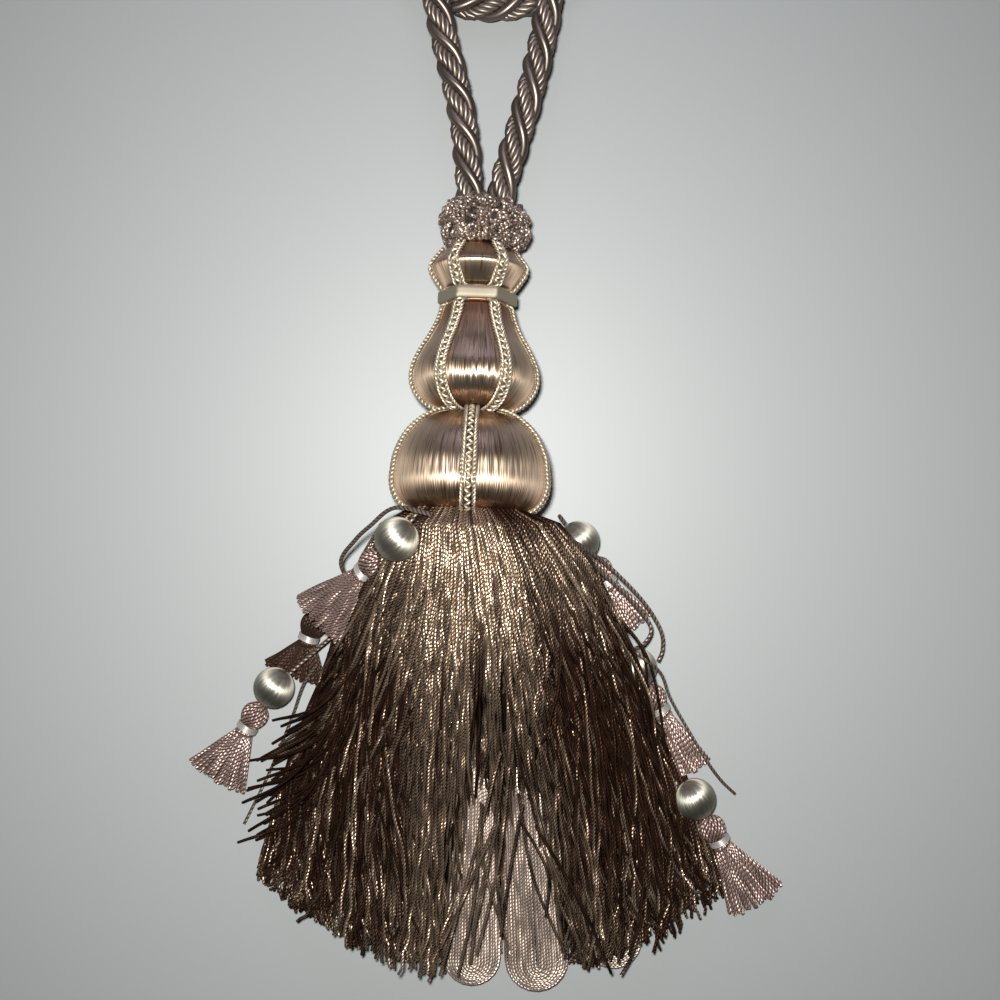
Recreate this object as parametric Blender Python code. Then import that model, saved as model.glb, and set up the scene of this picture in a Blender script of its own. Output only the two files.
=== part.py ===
"""Curtain tieback tassel, lying on its back on a flat surface.

Metres, +Z up. The head points along +Y and the skirt along -Y. The origin is on
the surface, under the middle of the tassel without its cords.
"""
import math

import bmesh
import bpy
from mathutils import Vector

MM = 0.001

# Driving sizes.
HEAD_CENTRE = Vector((-4.0, 53.0, 28.0)) * MM     # a point on the head's long axis, inside the ball
HEAD_LEAN = math.radians(2.2)                     # the head leans to +X
HEAD_DIP = math.radians(4.0)                      # and dips towards the rope
ROPE_DIAMETER = 11.3 * MM
ROPE_STEP = 10.5 * MM                             # between the points of the rope's centreline
CORD_STEP = 3.4                                   # the same on a fine cord, in diameters
BRAID_WIDTH = 5.0 * MM
BRAID_THICKNESS = 2.0 * MM
GAP = 0.35 * MM                                   # between pieces that touch
RUFF_SHIFT = Vector((1.8, 0.0, 0.0)) * MM          # the rope comes out a little to one side
BEAD_RADIUS = 8.0 * MM
BEAD_HOLE = math.radians(12.0)                    # from a bead's axis to the edge of its hole
DROP_CORD_DIAMETER = 1.6 * MM
THREAD_DIAMETER = 1.2 * MM
FLOOR_CLEARANCE = 0.02 * MM                       # under a cord that lies on the surface
FAN_APEX = Vector((2.0, 176.0, 0.0)) * MM         # the skirt's yarn spreads from here

# Turned moulds: distance along the head axis from HEAD_CENTRE, and radius, in mm.
BALL_PROFILE = [
    (-18.6, 20.0), (-16.6, 24.6), (-13.0, 27.2), (-8.0, 28.5), (-4.0, 28.6), (1.0, 28.0),
    (6.0, 26.2), (10.5, 23.4), (14.5, 19.4), (17.6, 14.2), (19.0, 9.0),
]
PEAR_PROFILE = [
    (19.6, 9.6), (21.0, 15.2), (24.0, 19.4), (28.0, 22.0), (31.5, 22.8), (36.0, 22.2),
    (41.5, 19.8), (47.0, 16.6), (52.5, 13.9), (56.0, 12.8), (58.4, 12.2),
]
NECK_PROFILE = [(59.4, 10.9), (65.0, 10.9)]
CROWN_PROFILE = [
    (66.0, 12.6), (68.0, 14.2), (71.0, 16.2), (73.4, 17.3), (74.8, 16.9), (77.5, 14.9),
    (80.4, 12.6), (83.0, 9.0),
]
NECK_MIDDLE = 62.2
NECK_REACH = 4.0                                  # each way from the middle, in mm
NECK_BAND_SECTION = [(60.2, 13.0), (64.2, 13.0), (64.0, 14.6), (60.4, 14.6)]
BALL_BRAID_ANGLES = (0, 78, -78, 141, -141)       # degrees round the axis from the top
LONG_BRAID_ANGLES = (30, -30, 90, -90, 150, -150)
BRAID_CORNERS = [
    # side, as a share of half the width, and level, as a share of the thickness
    (-1, 0.0), (0, 0.0), (1, 0.0), (1, 0.7), (0, 1.0), (-1, 0.7),
]
NECK_SQUEEZE = 0.7                                # thickness left to a braid under the neck band
TIGHTEST_TURN = 6.0                               # least radius that a braid's width turns about, mm

# The ruff: a ring of crimped loops at the foot of the rope, in mm.
RUFF_DISTANCE = 90.6
RUFF_HALF_LENGTH = 8.6
RUFF_RADIUS = 14.8
RUFF_HALF_THICKNESS = 2.0
RUFF_LOBES = 9
RUFF_LOBE_HEIGHT = 0.9
RUFF_DROOP = 1.6                                  # how much lower it sits on the right

SKIRT_TOP = (-19.3, 24.0)                         # distance and radius under the ball, mm
# Skirt rows: left and right edges, how far the middle hangs below them, height of the
# crest, of the sides, and depth of the underside below the sides, in mm.
SKIRT_ROWS = [
    # y_left, x_left, y_right, x_right, sag, crest, side, keel
    (30.0, -31.5, 30.0, 25.0, 0.0, 54.5, 28.0, 28.6),
    (16.0, -34.5, 16.0, 34.0, 0.0, 54.0, 24.0, 27.0),
    (0.0, -44.5, 0.0, 42.5, 0.0, 53.5, 18.0, 24.0),
    (-16.0, -51.5, -16.0, 48.5, 2.0, 51.5, 13.0, 22.0),
    (-32.0, -60.0, -32.0, 50.5, 4.0, 47.0, 9.0, 20.0),
    (-52.0, -67.5, -52.0, 64.5, 6.0, 41.0, 6.5, 18.0),
    (-74.0, -74.0, -74.0, 72.5, 10.0, 34.0, 5.0, 14.0),
    (-90.0, -78.0, -92.0, 78.5, 17.0, 29.0, 4.5, 12.0),
]
SKIRT_EAVES = [
    # the same, over the hanks
    (-91.5, -78.4, -93.5, 79.0, 17.6, 28.6, 4.5, 12.0),
    (-103.0, -81.5, -106.0, 83.5, 27.0, 24.0, 4.2, 12.0),
    (-112.0, -83.0, -116.0, 86.0, 33.0, 19.0, 4.0, 12.0),
]
SKIRT_COLUMNS = 56
LOCKS = 22                                        # bundles of yarn round the skirt
LOCK_HEIGHT = 1.1 * MM
CREST_POWER = 0.85                                # below 1 for a fuller shoulder
EAVES_LIFT = 12.4 * MM
EAVES_THICKNESS = 3.2 * MM
EAVES_EDGE = (0.93, 0.85)                         # shares of the half width between which they lift
TOOTH_DEPTH = 4.5 * MM

HANKS = [
    # name, x_end, y_end, width, height, length, in mm
    ("hank_far_left", -57.0, -131.0, 20.0, 6.5, 23.0),
    ("hank_left", -32.5, -143.0, 23.0, 9.5, 29.0),
    ("hank_middle", -4.5, -152.0, 23.0, 11.5, 37.0),
    ("hank_right", 22.0, -154.6, 26.0, 11.5, 40.0),
    ("hank_far_right", 53.5, -146.0, 23.0, 7.0, 33.0),
]
HANK_SECTIONS = [
    # share of length, of width, of height
    (0.0, 0.86, 0.92), (0.45, 0.95, 1.0), (0.82, 1.0, 1.0), (0.94, 0.86, 0.82), (1.0, 0.55, 0.5),
]
HANK_COLUMNS = 16
HANK_EDGE_HEIGHT = 0.22                           # of the side edges, as a share of the height
HANK_POWER = 0.6                                  # below 1 for a flatter top

DROPS = [
    # name, bead centre, head centre, middle of the fan's end, half width of that end, in mm
    ("left_upper", (-29.6, 25.2, 52.5), (-39.6, 16.0, 38.5), (-62.9, -7.0, 20.5), 12.5),
    ("left_middle", (-60.8, -1.0, 7.9), (-67.8, -12.8, 5.1), (-77.4, -26.4, 3.3), 11.0),
    ("left_lower", (-81.8, -34.6, 7.9), (-90.1, -46.2, 5.1), (-105.7, -71.4, 3.3), 13.5),
    ("right_upper", (37.6, 23.0, 12.0), (46.0, 11.3, 7.0), (60.5, -10.5, 3.3), 8.0),
    ("right_middle", (60.4, -26.9, 7.9), (67.4, -39.2, 5.1), (83.2, -67.6, 3.3), 8.0),
    ("right_lower", (83.6, -78.3, 7.9), (90.8, -90.8, 5.1), (108.6, -120.5, 3.3), 12.5),
]
FAN_SECTIONS = [
    # distance from the head's centre in mm, width and thickness in mm; after the neck
    # the width grows to the fan's own end
    (-5.9, 0.8, 0.8), (-4.9, 2.2, 2.2), (-3.4, 4.1, 4.1), (0.0, 5.2, 5.0), (2.8, 4.4, 4.2),
    (4.0, 3.2, 2.8), (6.8, 3.2, 2.8), (8.0, 4.6, 3.4),
]
FAN_END_SECTIONS = [(0.5, 3.4), (0.96, 3.4), (1.0, 2.4)]    # share of the fan's length, thickness
TIE_BAND_REACH = (4.3, 6.5)                       # along the small tassel, mm
TIE_BAND_INSIDE = (3.6, 3.2)                      # half width and half thickness, mm
TIE_BAND_THICKNESS = 0.9

ROPE_ROUTE = [
    # from the crown up the right leg, round under both legs and down the left leg, in mm
    (7.3, 138.6, 21.6), (7.3, 147.0, 21.7), (7.6, 156.5, 21.8), (10.2, 166.5, 21.6),
    (14.9, 182.3, 21.0), (19.3, 198.3, 20.0), (23.0, 214.8, 18.8), (25.8, 231.0, 18.2),
    (26.8, 246.0, 17.9), (27.2, 260.0, 16.6), (27.2, 273.5, 14.9), (27.2, 287.0, 13.0),
    (28.8, 298.5, 11.0), (34.0, 309.5, 8.8), (43.5, 317.5, 6.8), (55.0, 320.6, 5.9),
    (66.6, 317.5, 5.8), (76.5, 309.0, 5.8), (80.6, 296.5, 5.8), (78.4, 283.5, 5.8),
    (70.2, 273.5, 5.8), (59.2, 266.0, 5.8), (48.0, 259.0, 5.8), (37.8, 250.6, 5.8),
    (28.6, 241.0, 5.8), (17.0, 235.1, 5.8), (4.0, 233.4, 5.8), (-9.0, 235.1, 5.8),
    (-20.6, 241.0, 5.8), (-29.8, 250.6, 5.8), (-40.0, 259.0, 5.8), (-51.2, 266.0, 5.8),
    (-62.2, 273.5, 5.8), (-70.4, 283.5, 5.8), (-72.6, 296.5, 5.8), (-68.5, 309.0, 5.8),
    (-58.6, 317.5, 5.8), (-47.0, 320.6, 5.9), (-35.5, 317.5, 6.8), (-26.0, 309.5, 8.8),
    (-20.9, 298.5, 11.0), (-19.4, 287.0, 13.0), (-19.3, 273.5, 14.9), (-19.2, 260.0, 16.6),
    (-18.6, 246.0, 17.9), (-17.5, 231.0, 18.2), (-14.2, 214.8, 18.8), (-10.2, 198.3, 20.0),
    (-7.0, 182.3, 21.0), (-5.3, 166.5, 21.6), (-4.7, 156.5, 21.8), (-4.6, 147.0, 21.7),
    (-4.6, 138.6, 21.6),
]
CORD_ROUTES = {
    # free cords and threads: name, diameter, route points in mm
    "drop_cord_left_upper": (DROP_CORD_DIAMETER, [(-22.3, 34.4, 57.4), (-24.4, 31.4, 57.0)]),
    "drop_cord_left_middle": (DROP_CORD_DIAMETER, [
        (-35.4, 29.0, 30.0), (-42.0, 21.0, 21.0), (-50.5, 11.0, 13.5), (-56.1, 6.4, 9.6)]),
    "drop_cord_left_lower": (DROP_CORD_DIAMETER, [
        (-17.0, 34.0, 58.6), (-30.7, 36.2, 49.0), (-40.5, 29.5, 40.0), (-47.0, 24.0, 32.0),
        (-53.5, 15.5, 23.0), (-50.2, 5.0, 15.5), (-49.6, -4.0, 11.0), (-54.5, -11.0, 9.6),
        (-61.0, -16.2, 9.4), (-67.5, -21.8, 9.0), (-75.4, -28.8, 8.6)]),
    "drop_cord_right_upper": (DROP_CORD_DIAMETER, [(29.6, 33.0, 18.0), (32.2, 29.6, 15.2)]),
    "drop_cord_right_middle": (DROP_CORD_DIAMETER, [
        (31.5, 25.5, 34.0), (43.8, 17.3, 22.0), (52.9, 9.5, 18.0), (63.0, -1.3, 14.0),
        (69.6, -12.0, 10.5), (70.6, -19.5, 8.6), (68.9, -24.4, 8.0)]),
    "drop_cord_right_lower": (DROP_CORD_DIAMETER, [
        (30.0, 22.6, 40.0), (41.5, 14.6, 24.5), (50.5, 7.0, 19.0), (60.0, -2.6, 14.6),
        (65.6, -11.0, 12.4), (62.4, -17.0, 14.0), (56.0, -19.5, 17.0), (52.6, -26.5, 16.5),
        (54.2, -34.0, 12.0), (60.2, -41.5, 8.0), (66.6, -53.5, 6.4), (72.3, -64.0, 6.0),
        (76.4, -73.0, 7.4)]),
    "loose_thread_left": (THREAD_DIAMETER, [
        (-64.8, -25.5, 11.0), (-70.4, -33.5, 7.0), (-75.2, -46.0, 2.6), (-80.8, -59.6, 0.9),
        (-86.6, -73.0, 0.8), (-95.1, -90.1, 0.8)]),
    "loose_thread_right": (THREAD_DIAMETER, [
        (55.6, -17.0, 19.5), (63.0, -22.6, 18.4), (69.0, -28.0, 15.0), (72.8, -37.4, 11.8),
        (78.2, -47.1, 9.4), (87.8, -63.0, 8.4), (94.0, -71.5, 5.0), (100.6, -78.2, 0.8)]),
}

FABRIC_COLOURS = {
    "rope": (0.23, 0.16, 0.13), "ruff": (0.30, 0.22, 0.16), "satin": (0.36, 0.22, 0.16),
    "braid": (0.55, 0.47, 0.33), "neck": (0.66, 0.60, 0.46), "skirt": (0.16, 0.09, 0.06),
    "hank": (0.42, 0.33, 0.26), "bead": (0.45, 0.40, 0.29), "tuft": (0.50, 0.33, 0.28),
    "tie": (0.72, 0.68, 0.62), "cord": (0.52, 0.42, 0.36),
}


def clear_scene():
    for item in list(bpy.data.objects):
        bpy.data.objects.remove(item)


def material(name, colour, roughness=0.6):
    made = bpy.data.materials.new(name)
    made.use_nodes = True
    shader = made.node_tree.nodes["Principled BSDF"]
    shader.inputs["Base Color"].default_value = (*colour, 1.0)
    shader.inputs["Roughness"].default_value = roughness
    shader.inputs["Metallic"].default_value = 0.0
    return made


def add_object(name, data, kind):
    data.materials.append(material(name + "_yarn", FABRIC_COLOURS[kind]))
    item = bpy.data.objects.new(name, data)
    bpy.context.scene.collection.objects.link(item)
    return item


def solid(name, rings, kind, mirrored_caps=False):
    """A closed body through rings of points; each end is closed by one or more faces."""
    mesh = bmesh.new()
    count = len(rings[0])
    rows = [[mesh.verts.new(point) for point in ring] for ring in rings]
    for near, far in zip(rows, rows[1:]):
        for j in range(count):
            k = (j + 1) % count
            mesh.faces.new((near[j], near[k], far[k], far[j]))
    for row in (rows[0], rows[-1]):
        if mirrored_caps:
            half = count // 2
            for j in range(half):
                corners = (row[j], row[j + 1], row[(count - j - 1) % count], row[(count - j) % count])
                mesh.faces.new(list(dict.fromkeys(corners)))
        else:
            mesh.faces.new(row)
    bmesh.ops.recalc_face_normals(mesh, faces=mesh.faces)
    data = bpy.data.meshes.new(name)
    mesh.to_mesh(data)
    mesh.free()
    return add_object(name, data, kind)


def closed_loop(name, sections, kind):
    """A ring-shaped body: sections of points that follow each other round to the first."""
    mesh = bmesh.new()
    rows = [[mesh.verts.new(point) for point in section] for section in sections]
    count = len(rows[0])
    for i, near in enumerate(rows):
        far = rows[(i + 1) % len(rows)]
        for j in range(count):
            k = (j + 1) % count
            mesh.faces.new((near[j], near[k], far[k], far[j]))
    bmesh.ops.recalc_face_normals(mesh, faces=mesh.faces)
    data = bpy.data.meshes.new(name)
    mesh.to_mesh(data)
    mesh.free()
    return add_object(name, data, kind)


def catmull_rom(points, share, i):
    a, b, c, d = (points[max(0, min(len(points) - 1, i + k))] for k in (-1, 0, 1, 2))
    return 0.5 * (2 * b + (c - a) * share + (2 * a - 5 * b + 4 * c - d) * share ** 2
                  + (3 * b - a - 3 * c + d) * share ** 3)


def smooth_route(points, step):
    """Points about a step apart on a smooth curve through the route points."""
    fine = [catmull_rom(points, k / 12, i) for i in range(len(points) - 1) for k in range(12)]
    fine.append(points[-1])
    lengths = [0.0]
    for a, b in zip(fine, fine[1:]):
        lengths.append(lengths[-1] + (b - a).length)
    count = max(2, round(lengths[-1] / step))
    route = []
    i = 0
    for k in range(count + 1):
        goal = lengths[-1] * k / count
        while i < len(fine) - 2 and lengths[i + 1] < goal:
            i += 1
        share = (goal - lengths[i]) / max(1e-9, lengths[i + 1] - lengths[i])
        route.append(fine[i].lerp(fine[i + 1], min(1.0, share)))
    return route


def cord(name, points, diameter, kind, resolution=2):
    lowest = diameter / 2 + FLOOR_CLEARANCE
    data = bpy.data.curves.new(name, "CURVE")
    data.dimensions = "3D"
    data.bevel_depth = diameter / 2
    data.bevel_resolution = resolution
    data.use_fill_caps = True
    spline = data.splines.new("POLY")
    spline.points.add(len(points) - 1)
    for target, point in zip(spline.points, points):
        target.co = (point.x, point.y, max(point.z, lowest), 1.0)
    return add_object(name, data, kind)


def head_axes():
    along = Vector((math.tan(HEAD_LEAN), 1.0, -math.tan(HEAD_DIP))).normalized()
    right = along.cross(Vector((0.0, 0.0, 1.0))).normalized()
    up = right.cross(along)
    return along, right, up


def head_point(distance, radius, angle):
    """A point round the head's axis; the angle runs from the top towards +X."""
    along, right, up = head_axes()
    spoke = right * math.sin(angle) + up * math.cos(angle)
    return HEAD_CENTRE + along * distance + spoke * radius


def on_floor(point):
    return Vector((point.x, point.y, max(0.0, point.z)))


def turned(name, profile, sides):
    rings = []
    for distance, radius in profile:
        ring = [head_point(distance * MM, radius * MM, 2 * math.pi * j / sides) for j in range(sides)]
        rings.append([on_floor(point) for point in ring])
    return solid(name, rings, "satin")


def profile_normal(profile, i):
    """Outward direction of the profile at a point, as (along, radial)."""
    before = Vector(profile[max(0, i - 1)])
    after = Vector(profile[min(len(profile) - 1, i + 1)])
    run = (after - before).normalized()
    return Vector((-run.y, run.x))


def braid(name, profile, angle):
    """A flat plait laid along a mould's profile at one angle round the axis."""
    rings = []
    for i, (distance, radius) in enumerate(profile):
        in_neck = abs(distance - NECK_MIDDLE) < NECK_REACH
        outward = Vector((0.0, 1.0)) if in_neck else profile_normal(profile, i)
        thin = NECK_SQUEEZE if in_neck else 1.0
        ring = []
        for side, level in BRAID_CORNERS:
            lift = (GAP + BRAID_THICKNESS * thin * level) / MM
            spot = Vector((distance, radius)) + outward * lift
            turn = side * 0.5 * BRAID_WIDTH / MM / max(radius, TIGHTEST_TURN)
            ring.append(head_point(spot.x * MM, spot.y * MM, angle + turn))
        rings.append(ring)
    return solid(name, rings, "braid")


def inner_part(profile, first, last):
    return profile[first:len(profile) - last]


def make_head():
    turned("ball", BALL_PROFILE, 36)
    turned("pear", PEAR_PROFILE, 32)
    turned("crown", NECK_PROFILE + CROWN_PROFILE, 28)
    for angle in BALL_BRAID_ANGLES:
        side = "front" if angle == 0 else ("right" if angle > 0 else "left")
        braid(f"ball_braid_{side}_{abs(angle)}", inner_part(BALL_PROFILE, 1, 1), math.radians(angle))
    long_profile = inner_part(PEAR_PROFILE, 1, 0) + NECK_PROFILE + inner_part(CROWN_PROFILE, 0, 2)
    for angle in LONG_BRAID_ANGLES:
        side = "right" if angle > 0 else "left"
        braid(f"long_braid_{side}_{abs(angle)}", long_profile, math.radians(angle))
    make_neck_band()
    make_ruff()


def make_neck_band():
    sections = []
    sides = 28
    for j in range(sides):
        angle = 2 * math.pi * j / sides
        sections.append([head_point(d * MM, r * MM, angle) for d, r in NECK_BAND_SECTION])
    closed_loop("neck_band", sections, "neck")


def make_ruff():
    """A ring round the foot of the rope, with lobes where its loops stand out."""
    sections = []
    sides = 36
    section_points = 8
    for j in range(sides):
        angle = 2 * math.pi * j / sides
        lobe = RUFF_LOBE_HEIGHT * math.cos(RUFF_LOBES * angle)
        droop = RUFF_DROOP * max(0.0, math.sin(angle))
        section = []
        for k in range(section_points):
            turn = 2 * math.pi * k / section_points
            outside = math.sin(turn) > 0.5
            distance = RUFF_DISTANCE - droop + RUFF_HALF_LENGTH * math.cos(turn)
            radius = RUFF_RADIUS + RUFF_HALF_THICKNESS * math.sin(turn) + (lobe if outside else 0.0)
            section.append(head_point(distance * MM, radius * MM, angle) + RUFF_SHIFT)
        sections.append(section)
    closed_loop("ruff", sections, "ruff")


def make_cords():
    rope = smooth_route([Vector(point) * MM for point in ROPE_ROUTE], ROPE_STEP)
    cord("rope", rope, ROPE_DIAMETER, "rope", 3)
    for name, (diameter, points) in CORD_ROUTES.items():
        route = [Vector(point) * MM for point in points]
        cord(name, smooth_route(route, CORD_STEP * diameter), diameter, "cord")


def skirt_section(row, columns, eaves, tooth):
    y_left, x_left, y_right, x_right, sag, crest, side, keel = (value * MM for value in row)
    half = (x_right - x_left) / 2
    middle = (x_right + x_left) / 2
    points = []
    for j in range(columns):
        angle = 2 * math.pi * j / columns
        across = math.cos(angle)
        rise = math.sin(angle)
        y = (y_right + y_left) / 2 + (y_right - y_left) / 2 * across - sag * (1 - across ** 2)
        lobed = min(j, columns - j) % 2
        y -= tooth * lobed
        upper = side + (crest - side) * abs(rise) ** CREST_POWER
        upper += LOCK_HEIGHT * abs(rise) * math.cos(LOCKS * angle)
        if rise >= 0:
            z = upper
        elif eaves:
            outer, inner = EAVES_EDGE
            hollow = min(1.0, max(0.0, (outer - abs(across)) / (outer - inner)))
            z = max(0.0, min(EAVES_LIFT, upper - EAVES_THICKNESS) * hollow)
        else:
            z = max(0.0, side - keel * abs(rise))
        points.append(Vector((middle + half * across, y, z)))
    return points


def make_skirt():
    distance, radius = SKIRT_TOP
    top = []
    for j in range(SKIRT_COLUMNS):
        angle = math.pi / 2 - 2 * math.pi * j / SKIRT_COLUMNS
        top.append(on_floor(head_point(distance * MM, radius * MM, angle)))
    rings = [top]
    for row in SKIRT_ROWS:
        rings.append(skirt_section(row, SKIRT_COLUMNS, False, 0.0))
    for row in SKIRT_EAVES:
        tooth = TOOTH_DEPTH if row is SKIRT_EAVES[-1] else 0.0
        rings.append(skirt_section(row, SKIRT_COLUMNS, True, tooth))
    solid("skirt_fringe", rings, "skirt", mirrored_caps=True)


def make_hank(name, x_end, y_end, width, height, length):
    end = Vector((x_end, y_end, 0.0)) * MM
    along = (end - FAN_APEX).normalized()
    across = Vector((-along.y, along.x, 0.0))
    rings = []
    for share, wide, high in HANK_SECTIONS:
        centre = end - along * length * (1 - share) * MM
        ring = []
        for j in range(HANK_COLUMNS):
            angle = 2 * math.pi * j / HANK_COLUMNS
            z = height * high * max(0.0, math.sin(angle)) ** HANK_POWER
            if j in (0, HANK_COLUMNS // 2):
                z = HANK_EDGE_HEIGHT * height * high
            spot = centre + across * (width / 2 * wide * math.cos(angle)) * MM
            ring.append(Vector((spot.x, spot.y, z * MM)))
        rings.append(ring)
    solid(name, rings, "hank", mirrored_caps=True)


def small_tassel_axes(head, end):
    along = (end - head).normalized()
    across = along.cross(Vector((0.0, 0.0, 1.0))).normalized()
    return along, across, across.cross(along)


def oval(centre, across, up, half_width, half_thickness, sides):
    ring = []
    for j in range(sides):
        angle = 2 * math.pi * j / sides
        spot = centre + across * half_width * math.cos(angle) + up * half_thickness * math.sin(angle)
        ring.append(on_floor(spot))
    return ring


def make_drop(name, bead, head, end, half_width):
    bead, head, end = Vector(bead) * MM, Vector(head) * MM, Vector(end) * MM
    make_bead("bead_" + name, bead, (bead - head).normalized())
    along, across, up = small_tassel_axes(head, end)
    sides = 14
    reach = (end - head).length / MM
    rings = []
    for distance, wide, thick in FAN_SECTIONS:
        rings.append(oval(head + along * distance * MM, across, up, wide * MM, thick * MM, sides))
    neck = FAN_SECTIONS[-1]
    for share, thick in FAN_END_SECTIONS:
        distance = neck[0] + (reach - neck[0]) * share
        wide = neck[1] + (half_width - neck[1]) * share
        rings.append(oval(head + along * distance * MM, across, up, wide * MM, thick * MM, sides))
    solid("small_tassel_" + name, rings, "tuft", mirrored_caps=True)
    make_tie_band("tie_band_" + name, head, along, across, up)


def make_tie_band(name, head, along, across, up):
    sections = []
    sides = 14
    near, far = TIE_BAND_REACH
    corners = ((near, 0.0), (far, 0.0), (far, TIE_BAND_THICKNESS), (near, TIE_BAND_THICKNESS))
    for j in range(sides):
        angle = 2 * math.pi * j / sides
        section = []
        for distance, grow in corners:
            spoke = across * (TIE_BAND_INSIDE[0] + grow) * math.cos(angle)
            spoke = spoke + up * (TIE_BAND_INSIDE[1] + grow) * math.sin(angle)
            section.append(on_floor(head + along * distance * MM + spoke * MM))
        sections.append(section)
    closed_loop(name, sections, "tie")


def make_bead(name, centre, along):
    across = along.cross(Vector((0.0, 0.0, 1.0))).normalized()
    up = across.cross(along)
    rings = []
    steps = 9
    for k in range(steps):
        tilt = BEAD_HOLE + (math.pi - 2 * BEAD_HOLE) * k / (steps - 1)
        middle = centre + along * BEAD_RADIUS * math.cos(tilt)
        radius = BEAD_RADIUS * math.sin(tilt)
        rings.append(oval(middle, across, up, radius, radius, 16))
    solid(name, rings, "bead")


def main():
    clear_scene()
    make_head()
    make_skirt()
    for hank in HANKS:
        make_hank(*hank)
    for drop in DROPS:
        make_drop(*drop)
    make_cords()


main()
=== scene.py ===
"""Curtain tieback tassel: rope loop, satin-wound head, bullion skirt and beaded side tassels.

Everything is in metres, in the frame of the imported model: +Y towards the rope, +Z up.
"""

import math

import bmesh
import bpy
import numpy as np
from bpy.props import FloatProperty, FloatVectorProperty, IntProperty, PointerProperty
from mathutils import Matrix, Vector


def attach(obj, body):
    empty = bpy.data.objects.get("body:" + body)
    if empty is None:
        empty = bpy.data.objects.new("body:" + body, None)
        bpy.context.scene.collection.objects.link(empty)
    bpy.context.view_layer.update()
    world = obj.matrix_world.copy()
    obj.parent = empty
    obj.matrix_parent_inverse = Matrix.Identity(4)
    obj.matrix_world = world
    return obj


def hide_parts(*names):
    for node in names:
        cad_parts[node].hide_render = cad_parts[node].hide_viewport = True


bl_info = {
    "name": "Tieback tassel",
    "version": (1, 0, 0),
    "blender": (4, 5, 0),
    "location": "View3D > Sidebar > Tassel",
    "description": "Builds a curtain tieback tassel, piece by piece, on its packed frame",
    "category": "Object",
}

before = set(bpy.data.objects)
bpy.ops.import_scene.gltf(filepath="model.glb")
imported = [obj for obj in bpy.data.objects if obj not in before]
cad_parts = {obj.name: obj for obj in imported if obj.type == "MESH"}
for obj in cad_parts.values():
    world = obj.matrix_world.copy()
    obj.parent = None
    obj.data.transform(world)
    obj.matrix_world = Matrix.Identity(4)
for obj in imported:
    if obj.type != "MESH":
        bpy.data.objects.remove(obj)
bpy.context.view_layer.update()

MM = 0.001

# The head's long axis, and the turned profiles along it (distance, radius) in mm.
HEAD_CENTRE = np.array([-4.0, 53.0, 28.0]) * MM
HEAD_LEAN = math.radians(2.2)
HEAD_DIP = math.radians(4.0)
BALL_PROFILE = [
    (-18.6, 20.0), (-16.6, 24.6), (-13.0, 27.4), (-8.6, 28.6), (-4.0, 28.4), (1.0, 27.7),
    (6.0, 25.9), (10.5, 23.2), (14.5, 19.2), (17.6, 14.2), (19.0, 9.0),
]
PEAR_PROFILE = [
    (19.6, 9.6), (21.0, 15.2), (24.0, 19.4), (28.0, 22.0), (31.5, 22.8), (36.0, 22.2),
    (41.5, 19.8), (47.0, 16.6), (52.5, 13.9), (56.0, 12.8), (58.4, 12.2),
]
NECK_PROFILE = [(59.4, 10.9), (65.0, 10.9)]
CROWN_PROFILE = [
    (66.0, 12.6), (68.0, 14.2), (71.0, 16.2), (73.4, 17.3), (74.8, 16.9), (77.5, 14.9),
    (80.4, 12.6), (83.0, 9.0),
]
NECK_MIDDLE = 62.2
NECK_BAND_REACH = 15.0
NECK_BAND_SECTION = [(-2.2, -1.4), (-2.3, -0.4), (-2.1, 0.0), (-0.7, 0.08), (0.7, 0.08),
                     (2.1, 0.0), (2.3, -0.4), (2.2, -1.4)]
BALL_BRAID_ANGLES = (0, 78, -78, 141, -141)
LONG_BRAID_ANGLES = (30, -30, 90, -90, 150, -150)
# The ruff: how many curls, how many times they go round, and its inner rings (distance, radius).
RUFF_CURLS = 520
RUFF_TURNS = 37.4
RUFF_CORE = [(87.0, 11.6), (90.8, 12.0), (94.6, 11.2)]
RUFF_SHIFT = np.array([1.8, 0.0, 0.0]) * MM

# The routes of the cords, in mm. The rope's legs go up from the ruff (y, z, x on the right, x on
# the left). The right half of its loop follows, and the left half mirrors it.
ROPE_LEGS = [
    (138.6, 21.6, 7.3, -4.6), (147.0, 21.7, 7.3, -4.6), (156.5, 21.8, 7.6, -4.7),
    (166.5, 21.6, 10.2, -5.3), (182.3, 21.0, 14.9, -7.0), (198.3, 20.0, 19.3, -10.2),
    (214.8, 18.8, 23.0, -14.2), (231.0, 18.2, 25.8, -17.5), (246.0, 17.9, 26.8, -18.6),
    (260.0, 16.6, 27.2, -19.2), (273.5, 14.9, 27.2, -19.3), (287.0, 13.0, 27.2, -19.4),
    (298.5, 11.0, 28.8, -20.9),
]
ROPE_LOOP = [
    (34.0, 309.5, 8.8), (43.5, 317.5, 6.8), (55.0, 320.6, 5.9), (66.6, 317.5, 5.8),
    (76.5, 309.0, 5.8), (80.6, 296.5, 5.8), (78.4, 283.5, 5.8), (70.2, 273.5, 5.8),
    (59.2, 266.0, 5.8), (48.0, 259.0, 5.8), (37.8, 250.6, 5.8), (28.6, 241.0, 5.8),
    (17.0, 235.1, 5.8),
]
ROPE_MIRROR = 4.0
ROPE_ROUTE = ([(x, y, z) for y, z, x, _ in ROPE_LEGS] + ROPE_LOOP + [(ROPE_MIRROR, 233.4, 5.8)]
              + [(2 * ROPE_MIRROR - x, y, z) for x, y, z in reversed(ROPE_LOOP)]
              + [(x, y, z) for y, z, _, x in reversed(ROPE_LEGS)])
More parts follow.
